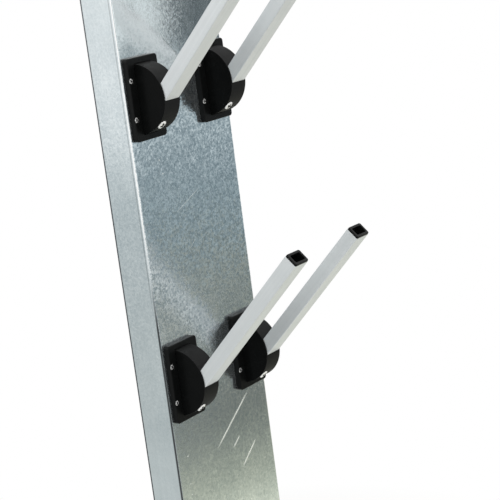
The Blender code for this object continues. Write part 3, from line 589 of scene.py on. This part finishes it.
def black_plastic(name, gloss, grain_scale=1500.0, relief=0.03, shine=0.07):
    """Moulded black plastic: near-black with faint cloudiness, a very fine grain and a little dust."""
    made, tree, shader, place = new_material(name)
    cloud = noise(tree, place, 45.0, 4.0, 0.6)
    colour = blended(tree, cloud, PLASTIC_DARK, PLASTIC_LIGHT)
    dust = use_group(tree, DUST, {"Place": place, "Amount": 0.02})["Mask"]
    colour = blended(tree, dust, colour, PLASTIC_DUST)
    rough = spread(tree, cloud, 0.25, 0.75, gloss - 0.05, gloss + 0.07)
    rough = calculate(tree, "ADD", rough, product(tree, dust, 0.4))
    height = use_group(tree, GRAIN, {"Place": place, "Scale": grain_scale})["Height"]
    shader.inputs["Specular IOR Level"].default_value = shine
    connect(tree, shader, Base_Color=colour, Roughness=rough, Normal=bumped(tree, height, relief, 0.0002))
    return made


def extruded_aluminium(name):
    """Extruded aluminium: fine die lines along the tube, faint bands and clouds, and dust."""
    made, tree, shader, place = new_material(name)
    along = mapped(tree, place, rotation=(-TUBE_ANGLE, 0, 0))
    lines = noise(tree, mapped(tree, along, scale=(2600, 2600, 9)), 1.0, 4.0, 0.65)
    bands = noise(tree, mapped(tree, along, scale=(190, 190, 2.5)), 1.0, 3.0, 0.5)
    cloud = noise(tree, place, 24.0, 4.0, 0.6)
    mix = product(tree, lines, 0.45)
    for part, share in ((bands, 0.30), (cloud, 0.25)):
        mix = calculate(tree, "ADD", mix, product(tree, part, share))
    colour = blended(tree, spread(tree, mix, 0.3, 0.7, 0.0, 1.0), ALUMINIUM_DARK, ALUMINIUM_LIGHT)
    rough = spread(tree, mix, 0.3, 0.7, 0.46, 0.36)
    dust = use_group(tree, DUST, {"Place": place, "Amount": 0.20})["Mask"]
    colour = blended(tree, dust, colour, ALUMINIUM_DUST)
    shader.inputs["Metallic"].default_value = 0.35
    connect(tree, shader, Base_Color=colour, Roughness=rough, Normal=bumped(tree, lines, 0.05, 0.0001))
    return made


def plated_steel(name, light, dark, roughness, metallic=1.0):
    """Plated steel: faint cloudiness and a fine grain."""
    made, tree, shader, place = new_material(name)
    cloud = noise(tree, place, 220.0, 4.0, 0.6)
    height = use_group(tree, GRAIN, {"Place": place, "Scale": 1800.0})["Height"]
    colour = blended(tree, spread(tree, cloud, 0.3, 0.7, 0.0, 1.0), dark, light)
    rough = spread(tree, height, 0.3, 0.7, roughness - 0.06, roughness + 0.10)
    shader.inputs["Metallic"].default_value = metallic
    connect(tree, shader, Base_Color=colour, Roughness=rough, Normal=bumped(tree, height, 0.10, 0.0001))
    return made


# Pieces of the column

SLOT_ACROSS = DRUM_WIDTH / 2 + 3 * FIT
SLOT_UP = STOP_RADIUS + 3 * FIT


def shell_profile(low, high):
    """The folded sheet's outside from one rear edge to the other, with points at the slots' sides: (x, y)."""
    fold = high.x - BEND_RADIUS
    front = low.y + BEND_RADIUS
    side = np.array([(low.x, high.y), (low.x, front + 2 * FIT)])
    bend = arc(BEND_RADIUS, np.pi, 1.5 * np.pi, 10) + (-fold, front)
    slot_sides = [PIVOTS[name].x + reach for name in HOLDERS[:2] for reach in (-SLOT_ACROSS, SLOT_ACROSS)]
    face = np.column_stack([slot_sides, np.full(len(slot_sides), low.y)])
    half = np.vstack([side, bend, (2 * FIT - fold, low.y)])
    return np.vstack([half, face, half[::-1] * (-1, 1)])


def shell_mesh():
    """Front and sides of the column: its profile carried up, less the cells of the grid in a slot."""
    low, high = (Vector(corner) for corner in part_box("column_shell"))
    profile = shell_profile(low, high)
    rows = [PIVOTS[name].z + end * SLOT_UP for name in HOLDERS[1::2] for end in (-1, 1)]
    heights = np.sort([low.z, high.z, *rows])
    x, z = np.broadcast_arrays(profile[:, :1], heights)
    points = np.stack([x, np.broadcast_to(profile[:, 1:], x.shape), z], axis=-1).reshape(-1, 3)
    faces = quads(*x.shape)
    middle = points[faces].mean(axis=1)
    apart = np.abs(middle[:, None] - np.array(list(PIVOTS.values())))
    in_slot = (apart[:, :, 0] < SLOT_ACROSS) & (apart[:, :, 2] < SLOT_UP) & (middle[:, 1:2] < low.y + FIT)
    mesh = bpy.data.meshes.new("shell")
    mesh.from_pydata(points.tolist(), [], faces[~in_slot.any(axis=1)].tolist())
    return mesh


def screw_mesh(head_radius, head_height, shank_radius, length, turn):
    """A pan head screw about the height axis, standing on height nought.

    The crown is a low dome, height times one less a power of the radius. The cross recess is taken from it
    where the nearer of two crossed lines is within an arm's width. Its faces have the second finish.
    """
    steps = 72
    rings = 19
    share = np.append(np.linspace(0, 0.90, rings), (0.96, 1.0, 1.0))
    crown = np.append(1 - CROWN_FALL * share[:rings] ** CROWN_POWER, (0.52, 0.34, 0.0))
    radius = np.append(share * head_radius, (shank_radius, shank_radius, 0))
    height = np.append(crown * head_height, (0, shank_radius - length, -length))
    angle = turn + np.linspace(0, 2 * np.pi, steps, endpoint=False)
    x = radius[:, None] * np.cos(angle - turn)
    y = radius[:, None] * np.sin(angle - turn)
    nearer = np.minimum(np.abs(x), np.abs(y)) / head_radius
    farther = np.maximum(np.abs(x), np.abs(y)) / head_radius
    depth = np.clip((RECESS_ARM - nearer) / RECESS_ARM_SLOPE, 0, 1)
    depth *= np.clip((RECESS_REACH - farther) / RECESS_END_SLOPE, 0, 1)
    depth[height < 0.5 * head_height] = 0
    z = height[:, None] - RECESS_DEPTH * head_height * depth
    points = turned_points(radius[:, None], z, angle)
    mesh = mesh_of("screw", points, quads(len(radius), steps, closed_columns=True).tolist())
    centres = np.empty(len(mesh.polygons) * 3)
    mesh.polygons.foreach_get("center", centres)
    x, y, z = centres.reshape(-1, 3).T
    out = np.hypot(x, y) / head_radius
    edge = (RECESS_EDGE - CROWN_FALL * out ** CROWN_POWER) * head_height
    # The recess faces get the second finish, which paints shade into the recess
    sunk = (out < RECESS_REACH) & (z > 0) & (z < edge)
    mesh.polygons.foreach_set("material_index", sunk.astype(np.int32))
    return mesh


# Cable gland: its profile as (radius, height) in millimetres, the rows of its flange and nut, and its ribs
GLAND_PROFILE = (
    (4.5, 11.0), (5.0, 11.0), (7.6, 11.0), (8.0, 10.6), (8.0, 0.0), (11.4, 0.0),
    (12.0, -0.5), (12.0, -5.0), (11.2, -5.6), (10.4, -5.8), (10.9, -6.4), (10.9, -11.6),
    (10.2, -13.4), (8.6, -16.4), (7.7, -17.7), (7.2, -18.0), (5.0, -18.0), (4.5, -17.5),
)
GLAND_FLANGE = slice(5, 9)
GLAND_NUT = slice(10, 13)
GLAND_RIBS = 18
GLAND_RIB_DEPTH = 0.035


def gland_mesh():
    """The cable gland: a profile turned about its axis, with a six-sided flange and a ribbed nut below it."""
    profile = np.array(GLAND_PROFILE) / 1000
    steps = 108
    angle = np.linspace(0, 2 * np.pi, steps, endpoint=False)
    six_sided = math.cos(math.pi / 6) / np.cos(np.mod(angle, math.pi / 3) - math.pi / 6)
    ribs = 1 - GLAND_RIB_DEPTH * (0.5 + 0.5 * np.cos(GLAND_RIBS * angle))
    radius = np.repeat(profile[:, :1], steps, axis=1)
    radius[GLAND_FLANGE] *= six_sided
    radius[GLAND_NUT] *= ribs
    mesh = looped("gland", turned_points(radius, profile[:, 1:], angle))
    middle = centre_of("cable_gland")
    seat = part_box("cable_gland")[0][2] - profile[:, 1].min()
    mesh.transform(Matrix.Translation((middle.x, middle.y, seat)))
    return mesh


def dress(node, finish):
    """Gives a CAD node that stays in view its finish."""
    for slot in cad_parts[node].material_slots:
        slot.material = finish


def add_column(finish):
    """The folded shell, the sheets that close it and the four screws in its sides."""
    skins = [finish["shell"]]
    add_piece("folded_shell", shell_mesh(), "column", skins, ["column_shell"], SHEET)
    for node in ("back_panel", "top_cap", "inlet_grille"):
        dress(node, finish["zinc"])
    edges = dict(zip(("left", "right"), (corner[0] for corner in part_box("column_shell"))))
    for i, (side, end) in enumerate((side, end) for side in edges for end in ("top", "bottom")):
        node = f"case_screw_{end}_{side}"
        inward = FIT if side == "right" else -FIT
        middle = centre_of(node)
        seat = (edges[side] + inward, middle.y, middle.z)
        turn = 0.5 + 0.9 * i
        mesh = placed(screw_mesh(*SMALL_SCREW, turn), FACING[side], seat)
        add_piece(f"case_fixing_{end}_{side}", mesh, "column", finish["screw"], [node])


# Pieces of the holders


def plate_screw_places():
    """The four screws of a plate, as (across, up) from its pivot, in the order of their nodes."""
    return [(x * PLATE_SCREWS[0], z * PLATE_SCREWS[1]) for x in (-1, 1) for z in (1, -1)]


def rounded_block(name, size, corner, insets, levels, steps):
    """A block that faces front: at each level a rounded rectangle, drawn in by an inset."""
    width, height = size
    outlines = [rounded_outline(width - 2 * i, height - 2 * i, corner - i, steps) for i in insets]
    return placed(lofted(name, stacked(outlines, levels)), FACING["front"])


def plate_blank():
    """The plate before it is cut: a block drawn in along a quarter circle at the front edge."""
    turn = np.linspace(0, np.pi / 2, 6)
    insets = np.append(0, PLATE_EDGE * (1 - np.cos(turn)))
    levels = np.append(PLATE_BACK, PLATE_FRONT - PLATE_EDGE * (1 - np.sin(turn)))
    return rounded_block("plate", PLATE_SIZE, PLATE_CORNER, insets, levels, 8)


def slot_tool():
    """What cuts the drum's slot in the plate: a block that widens at the front edge."""
    ease = PLATE_SLOT_EASE
    levels = (PLATE_BACK - OVERLAP, PLATE_FRONT - ease, PLATE_FRONT, PLATE_FRONT + OVERLAP)
    return rounded_block("slot", PLATE_SLOT, PLATE_SLOT_CORNER, (0, 0, -ease, -ease), levels, 4)


def pocket_tool(x, z):
    """What cuts a sunk screw hole in the plate: a stepped profile turned about the screw."""
    shank = SMALL_SCREW[2] + FIT
    profile = (
        (0, PLATE_FRONT + OVERLAP),
        (POCKET_RADIUS + POCKET_EASE, PLATE_FRONT + OVERLAP),
        (POCKET_RADIUS + POCKET_EASE, PLATE_FRONT),
        (POCKET_RADIUS, PLATE_FRONT - POCKET_EASE),
        (POCKET_RADIUS, POCKET_FLOOR),
        (shank, POCKET_FLOOR),
        (shank, PLATE_BACK - OVERLAP),
        (0, PLATE_BACK - OVERLAP),
    )
    return placed(turned("pocket", profile, 36), FACING["front"], (x, 0, z))


def plate_mesh():
    """A holder plate about its pivot, with the drum's slot and four sunk screw holes."""
    pockets = [pocket_tool(x, z) for x, z in plate_screw_places()]
    return cut(plate_blank(), slot_tool(), *pockets)


def drum_outline(rim_radius):
    """Side of the drum as (out, up): an arc about the pivot, a stop bar at each end and the hub between."""
    front, back = -PIVOT_OUT, -PIVOT_OUT - STOP_THICKNESS
    rise = math.sqrt(HUB_RADIUS ** 2 - back ** 2)
    upper = np.array([(front, STOP_RADIUS), (back, STOP_RADIUS), (back, rise)])
    cosine, sine = math.cos(FOLD_ANGLE), math.sin(FOLD_ANGLE)
    lower = upper[::-1] @ np.array([(cosine, -sine), (-sine, -cosine)])
    end = math.pi / 2 + math.asin(PIVOT_OUT / DRUM_RADIUS)
    rim = arc(rim_radius, -end - FOLD_ANGLE, end, 128)
    start = math.atan2(rise, back)
    hub = arc(HUB_RADIUS, start, 2 * math.pi - start - FOLD_ANGLE, 12)
    return np.vstack([rim, upper, hub[1:-1], lower])


def drum_mesh():
    """A swivel drum about its pivot: its side outline carried across, with a quarter circle along the rim.

    The clamp screw's hole is cut from it, and the rest is solid. Faces that look sideways have the second
    finish.
    """
    turn = np.linspace(0, np.pi / 2, 6)
    radius = DRUM_RADIUS - DRUM_EDGE * (1 - np.sin(turn))
    across = -DRUM_WIDTH / 2 + DRUM_EDGE * (1 - np.cos(turn))
    outlines = [drum_outline(rim) for rim in np.append(radius, radius[::-1])]
    drum = placed(lofted("drum", stacked(outlines, np.append(across, -across[::-1]))), SIDEWAYS)
    mesh = cut(drum, clamp_hole())
    normals = np.empty(len(mesh.polygons) * 3)
    mesh.polygons.foreach_get("normal", normals)
    sideways = np.abs(normals[::3]) > 0.7
    mesh.polygons.foreach_set("material_index", sideways.astype(np.int32))
    return mesh


def clamp_hole():
    """What cuts the clamp screw's sunk hole in the drum: a stepped profile turned about the screw."""
    head = CLAMP_SCREW[0] + 2 * FIT
    shank = CLAMP_SCREW[2] + FIT
    above = DRUM_RADIUS + 0.004
    below = SEAT_BOTTOM - OVERLAP
    profile = ((0, above), (head, above), (head, CLAMP_SEAT), (shank, CLAMP_SEAT), (shank, below), (0, below))
    return placed(turned("hole", profile, 48), ACROSS_TUBE, ACROSS_TUBE @ Vector((*CLAMP_PLACE, 0)))


def tube_rings(rings):
    """Rings of a tube or plug from (width, height, corner, along), about the tube's middle line."""
    made = [ring_at(rounded_outline(*size, 6) + (0, TUBE_OFFSET), along) for *size, along in rings]
    return np.stack(made)


def tube_mesh():
    """The air tube: a rounded rectangle carried along it and back inside, with the outer end eased."""
    width, height = TUBE_SIZE
    inside = (width - 2 * TUBE_WALL, height - 2 * TUBE_WALL, TUBE_INNER_CORNER)
    rings = (
        (width, height, TUBE_CORNER, TUBE_START),
        (width, height, TUBE_CORNER, TUBE_END - TUBE_EASE),
        (width - 2 * TUBE_EASE, height - 2 * TUBE_EASE, TUBE_CORNER - TUBE_EASE, TUBE_END),
        (*inside, TUBE_END),
        (*inside, TUBE_START),
    )
    return placed(looped("tube", tube_rings(rings)), ALONG_TUBE)


def softened(size, soft, front, turns):
    """Rings of a (width, height, corner) drawn in along a quarter circle, or out if soft is negative."""
    rings = []
    for turn in turns:
        inset = soft * (1 - math.cos(turn))
        level = front - abs(soft) * (1 - math.sin(turn))
        rings.append((size[0] - 2 * inset, size[1] - 2 * inset, size[2] - inset, level))
    return rings


def plug_mesh():
    """The tube's plug: a body inside it, a lip with a rounded front, and a mouth with an eased edge."""
    slack = TUBE_WALL + FIT
    lip = (*TUBE_SIZE, PLUG_CORNER)
    body = (lip[0] - 2 * slack, lip[1] - 2 * slack, PLUG_BODY_CORNER)
    mouth = (body[0] - 2 * PLUG_WALL, body[1] - 2 * PLUG_WALL, PLUG_MOUTH_CORNER)
    seat = TUBE_END + FIT
    front = seat + PLUG_LIP
    rings = [(*body, TUBE_END - PLUG_DEPTH), (*body, seat), (*lip, seat)]
    rings += softened(lip, PLUG_SOFT, front, np.linspace(0, np.pi / 2, 6))
    rings += softened(mouth, -PLUG_MOUTH_SOFT, front, np.linspace(np.pi / 2, 0, 4))
    rings.append((*mouth, TUBE_END - PLUG_DEPTH))
    return placed(looped("plug", tube_rings(rings)), ALONG_TUBE)


def add_holder(name, order, shapes, finish):
    """One holder: a plate with four screws on the column, and what swivels on its arm."""
    pivot = PIVOTS[name]
    move = Matrix.Translation(pivot)
    arm = f"arm_{name}"
    rows = (
        ("holder_plate", "flange", "column", "black_plastic", [finish["plate"]]),
        ("swivel_drum", "drum", arm, "black_plastic", finish["drum"]),
        ("air_tube", "tube", arm, "aluminium", [finish["aluminium"]]),
        ("tube_plug", "tube_tip", arm, "black_plastic", [finish["plate"]]),
    )
    for node, label, body, slot, skins in rows:
        mesh = shapes[node].copy()
        mesh.transform(move)
        add_piece(f"{label}_{name}", mesh, body, skins, [f"{node}_{name}"])
    seat = -(POCKET_FLOOR + FIT)
    for i, (x, z) in enumerate(plate_screw_places(), 1):
        turn = 0.7 * order + 1.1 * i
        mesh = placed(screw_mesh(*SMALL_SCREW, turn), FACING["front"], pivot + Vector((x, seat, z)))
        node = f"plate_screw_{name}_{i}"
        add_piece(f"flange_screw_{name}_{i}", mesh, "column", finish["screw"], [node])
    place = pivot + ACROSS_TUBE @ Vector((*CLAMP_PLACE, CLAMP_SEAT + FIT))
    turn = 0.35 + 0.8 * order
    mesh = placed(screw_mesh(*CLAMP_SCREW, turn), ACROSS_TUBE, place)
    add_piece(f"clamp_head_{name}", mesh, arm, finish["screw"], [f"clamp_screw_{name}"])
    dress(f"pivot_pin_{name}", finish["screw"][0])


def add_inner_pieces(finish):
    """Finishes of the pieces inside the column, and the cable gland under it."""
    for node in ("blower_housing", "heater_bracket_left", "heater_bracket_right"):
        dress(node, finish["zinc"])
    for node in ("wheel_bearing", "thermal_cutout", "gland_nut", "fan_motor"):
        dress(node, finish["nylon"])
    dress("blower_wheel", finish["aluminium"])
    dress("heater_element", finish["heater"])
    dress("terminal_block", finish["terminal"])
    add_piece("cable_gland_body", gland_mesh(), "column", [finish["nylon"]], ["cable_gland"])


# Stage, light and camera

FLOOR_HEIGHT = -0.56
FLOOR_REACH = 6.0
FLOOR_DARK = (0.80, 0.795, 0.77)
FLOOR_LIGHT = (0.84, 0.835, 0.81)

# Distances over which the floor turns plain white, its share of white before them, and the fill's strength
WHITE_FROM = 0.70
WHITE_TO = 0.86
WHITE_SHARE = 0.60
FILL_STRENGTH = 0.84

CAMERA_PLACE = Vector((-1.67018, -1.41965, 0.51731))
CAMERA_RIGHT = Vector((0.58038, -0.80455, -0.12596))
CAMERA_UP = Vector((0.24386, 0.02413, 0.96951))
CAMERA_LENS = 111.45
CAMERA_SENSOR = 36.0
AIM = Vector((0.0, -0.05, 0.10))

# Soft lamps, as place, width, height, brightness and tint
LAMPS = (
    ((-2.3, -2.3, 1.9), 2.4, 2.4, 1.5, (1.0, 1.0, 1.0)),
    ((-2.4, 1.6, 1.02), 1.4, 1.2, 1.2, (0.98, 0.99, 1.0)),
    ((2.3, -1.8, 1.75), 1.6, 1.5, 1.5, (1.0, 1.0, 0.99)),
    ((0.2, -0.8, 2.6), 1.8, 1.8, 1.15, (1.0, 1.0, 1.0)),
)

# Where the sweeps start, out from the middle, and their height above the floor
SWEEP_START = 0.35
SWEEP_LIFT = 0.01

# Tints of the two sweeps on the right, which differ only above, and the axis that their feet's tints follow
RIGHT_FOOT_AXIS = Vector((0.31, -1.24, 0))
RIGHT_FOOT = (
    (0.58, (0.84, 0.86, 0.70)),
    (0.78, (0.47, 0.49, 0.385)),
    (1.08, (0.20, 0.22, 0.19)),
    (1.28, (0.09, 0.10, 0.09)),
    (1.60, (0.22, 0.24, 0.21)),
)
RIGHT_RISE = (
    (-0.55, (0.24, 0.27, 0.25)),
    (-0.38, (0.29, 0.38, 0.42)),
    (-0.22, (0.20, 0.26, 0.295)),
    (-0.07, (0.58, 0.66, 0.69)),
    (0.03, (0.50, 0.57, 0.60)),
)

# Sweeps that only reflections see: each has its heading, its size as (half width, reach, top), and tints as
# (distance, tint) along its foot and as (height, tint) up its rise
SWEEPS = {
    "right_sweep": {
        "heading": Vector((0.795, -0.607, 0)),
        "size": (0.60, 2.7, 0.75),
        "foot": RIGHT_FOOT,
        "foot_axis": RIGHT_FOOT_AXIS,
        "rise": (*RIGHT_RISE, (0.16, (0.048, 0.068, 0.078))),
    },
    "paler_sweep": {
        "heading": Vector((0.698, -0.716, 0)),
        "size": (0.2425, 2.62, 0.75),
        "foot": RIGHT_FOOT,
        "foot_axis": RIGHT_FOOT_AXIS,
        "rise": (*RIGHT_RISE, (0.12, (0.24, 0.285, 0.30)), (0.21, (0.66, 0.71, 0.72))),
    },
    "left_sweep": {
        "heading": Vector((-0.795, 0.607, 0)),
        "size": (1.3, 2.5, 0.60),
        "foot": ((0.70, (0.61, 0.64, 0.63)), (1.15, (0.61, 0.64, 0.63))),
        "rise": ((-0.55, (0.60, 0.63, 0.63)), (-0.22, (0.52, 0.57, 0.58)), (-0.10, (0.91, 0.93, 0.93))),
    },
    "front_sweep": {
        "heading": Vector((-0.5, -0.866, 0)),
        "size": (2.2, 3.0, 1.2),
        "foot": ((0.70, (0.62, 0.64, 0.62)), (1.80, (0.56, 0.59, 0.58))),
        "rise": (
            (-0.55, (0.62, 0.66, 0.66)),
            (-0.40, (0.88, 0.92, 0.94)),
            (-0.15, (0.84, 0.88, 0.90)),
            (0.30, (0.42, 0.47, 0.49)),
            (1.10, (0.72, 0.76, 0.77)),
        ),
    },
    "rear_sweep": {
        "heading": Vector((0.76, 0.65, 0)),
        "size": (1.6, 2.6, 1.0),
        "foot": ((1.30, (1.00, 0.97, 0.84)), (2.40, (0.56, 0.59, 0.59))),
        "rise": ((-0.55, (0.56, 0.59, 0.59)), (0.10, (0.50, 0.54, 0.56)), (0.80, (0.80, 0.83, 0.84))),
    },
}


def seen_rays(tree):
    """One for rays from the camera, mirrors and glass, nought for the rest."""
    rays = tree.nodes.new("ShaderNodeLightPath").outputs
    mirrored = calculate(tree, "MAXIMUM", rays["Is Glossy Ray"], rays["Is Transmission Ray"])
    return calculate(tree, "MAXIMUM", rays["Is Camera Ray"], mirrored)


def add_world():
    """A white surround for what is seen, and a softer fill for what it lights."""
    world = bpy.data.worlds.new("studio")
    bpy.context.scene.world = world
    world.use_nodes = True
    tree = world.node_tree
    fill = tree.nodes["Background"]
    fill.inputs["Color"].default_value = (1, 1, 1, 1)
    fill.inputs["Strength"].default_value = FILL_STRENGTH
    white = add_node(tree, "Background", {"Color": (1, 1, 1, 1), "Strength": 1.0})
    mix = add_node(tree, "MixShader", {0: seen_rays(tree)})
    tree.links.new(fill.outputs[0], mix.inputs[1])
    tree.links.new(white.outputs[0], mix.inputs[2])
    tree.links.new(mix.outputs[0], tree.nodes["World Output"].inputs["Surface"])


def add_stage_sheet(name, points, finish):
    """A flat sheet of the stage through four corners."""
    mesh = bpy.data.meshes.new(name)
    mesh.from_pydata(points, [], [(0, 1, 2, 3)])
    mesh.materials.append(finish)
    sheet = bpy.data.objects.new(name, mesh)
    bpy.context.scene.collection.objects.link(sheet)
    return sheet


def add_floor():
    """A pale floor that keeps the shadow of the object, and is seen as plain white farther out."""
    made, tree, shader, place = new_material("pale_floor")
    shade = noise(tree, place, 1.5, 2.0)
    connect(tree, shader, Base_Color=blended(tree, shade, FLOOR_DARK, FLOOR_LIGHT))
    shader.inputs["Roughness"].default_value = 0.8
    glow = add_node(tree, "Emission", {"Color": (1, 1, 1, 1), "Strength": 1.0})
    away = calculate_vector(tree, "LENGTH", {0: place}, "Value")
    share = product(tree, seen_rays(tree), spread(tree, away, WHITE_FROM, WHITE_TO, WHITE_SHARE, 1.0))
    mix = add_node(tree, "MixShader", {0: share, 1: shader.outputs[0], 2: glow.outputs[0]})
    tree.links.new(mix.outputs[0], tree.nodes["Material Output"].inputs["Surface"])
    signs = ((-1, -1), (1, -1), (1, 1), (-1, 1))
    corners = [(x * FLOOR_REACH, y * FLOOR_REACH, FLOOR_HEIGHT) for x, y in signs]
    add_stage_sheet("floor", corners, made)


def tinted(tree, value, stops):
    """A colour that goes through stops, each given as (value, tint), and is held beyond the outer ones."""
    colour = stops[0][1]
    for (start, _), (end, tint) in zip(stops, stops[1:]):
        colour = blended(tree, spread(tree, value, start, end, 0.0, 1.0), colour, tint)
    return colour


def glowing(name, stops, axis):
    """A material that only glows, with its tint by the distance along an axis."""
    made = bpy.data.materials.new(name)
    made.use_nodes = True
    made.cycles.emission_sampling = "NONE"
    tree = made.node_tree
    tree.nodes.remove(tree.nodes["Principled BSDF"])
    place = tree.nodes.new("ShaderNodeTexCoord").outputs["Object"]
    distance = calculate_vector(tree, "DOT_PRODUCT", {0: place, 1: axis}, "Value")
    glow = add_node(tree, "Emission", {"Color": tinted(tree, distance, stops), "Strength": 1.0})
    tree.links.new(glow.outputs[0], tree.nodes["Material Output"].inputs["Surface"])
    return made


def add_card(name, corners, finish):
    """A sheet of the stage that only reflections see."""
    sheet = add_stage_sheet(name, [tuple(corner) for corner in corners], finish)
    sheet.visible_camera = False
    sheet.visible_diffuse = False
    sheet.visible_shadow = False


def add_sweeps():
    """Sweeps that run out over the floor and turn up, for the metal to show something lighter and darker."""
    upright = Vector((0, 0, 1))
    foot = upright * (FLOOR_HEIGHT + SWEEP_LIFT)
    for name, sweep in SWEEPS.items():
        heading = sweep["heading"]
        half_width, reach, top = sweep["size"]
        across = heading.cross(upright) * half_width
        start, turn = (heading * out + foot for out in (SWEEP_START, reach))
        end = heading * reach + upright * top
        foot_axis = sweep.get("foot_axis", heading)
        for label, axis, near, far in (("foot", foot_axis, start, turn), ("rise", upright, turn, end)):
            finish = glowing(f"{name}_{label}", sweep[label], axis)
            corners = (near - across, near + across, far + across, far - across)
            add_card(f"{name}_{label}", corners, finish)


def add_lamps():
    """Soft lamps that face the object; a lamp's power is its brightness times pi times its area."""
    for i, (place, width, height, brightness, tint) in enumerate(LAMPS, 1):
        light = bpy.data.lights.new(f"soft_lamp_{i}", "AREA")
        light.shape = "RECTANGLE"
        light.size = width
        light.size_y = height
        light.energy = brightness * math.pi * width * height
        light.color = tint
        lamp = bpy.data.objects.new(light.name, light)
        lamp.location = place
        lamp.rotation_euler = (AIM - Vector(place)).to_track_quat("-Z", "Y").to_euler()
        lamp.visible_camera = False
        bpy.context.scene.collection.objects.link(lamp)


def add_camera():
    """The camera at the photograph's viewing angle."""
    data = bpy.data.cameras.new("camera")
    data.lens = CAMERA_LENS
    data.sensor_width = CAMERA_SENSOR
    camera = bpy.data.objects.new("camera", data)
    axes = Matrix((CAMERA_RIGHT, CAMERA_UP, CAMERA_RIGHT.cross(CAMERA_UP))).transposed()
    camera.matrix_world = Matrix.Translation(CAMERA_PLACE) @ axes.to_4x4()
    bpy.context.scene.collection.objects.link(camera)
    bpy.context.scene.camera = camera


def finishes():
    """Every finish of the object, by its name in this script."""
    plated = plated_steel("plated_screw", (0.96, 0.96, 0.95), (0.86, 0.86, 0.85), 0.28, 0.35)
    # A dark finish that paints shade into the screws' cross recesses
    recess = plated_steel("screw_recess_painted_shade", (0.06, 0.06, 0.06), (0.02, 0.02, 0.02), 0.45)
    rim = black_plastic("moulded_rim", 0.62, shine=0.16)
    cheek = black_plastic("moulded_cheek", 0.25, shine=0.035)
    return {
        "zinc": galvanised("galvanised_sheet"),
        "shell": galvanised("galvanised_shell", on_shell=True),
        "plate": black_plastic("moulded_plate", 0.34, 1100.0, 0.05, 0.11),
        "drum": [rim, cheek],
        "nylon": black_plastic("black_nylon", 0.40, 700.0, 0.12),
        "terminal": black_plastic("terminal_black", 0.36, 500.0, 0.10),
        "aluminium": extruded_aluminium("extruded_aluminium"),
        "screw": [plated, recess],
        "heater": plated_steel("heater_tube", (0.36, 0.33, 0.29), (0.20, 0.17, 0.15), 0.40),
    }


def build():
    """The dressed object on its stage."""
    finish = finishes()
    shapes = {
        "holder_plate": plate_mesh(),
        "swivel_drum": drum_mesh(),
        "air_tube": tube_mesh(),
        "tube_plug": plug_mesh(),
    }
    add_column(finish)
    for order, name in enumerate(HOLDERS):
        add_holder(name, order, shapes, finish)
    for mesh in shapes.values():
        bpy.data.meshes.remove(mesh)
    add_inner_pieces(finish)
    add_world()
    add_floor()
    add_sweeps()
    add_lamps()
    add_camera()
    bpy.context.scene.view_settings.view_transform = "Standard"


build()
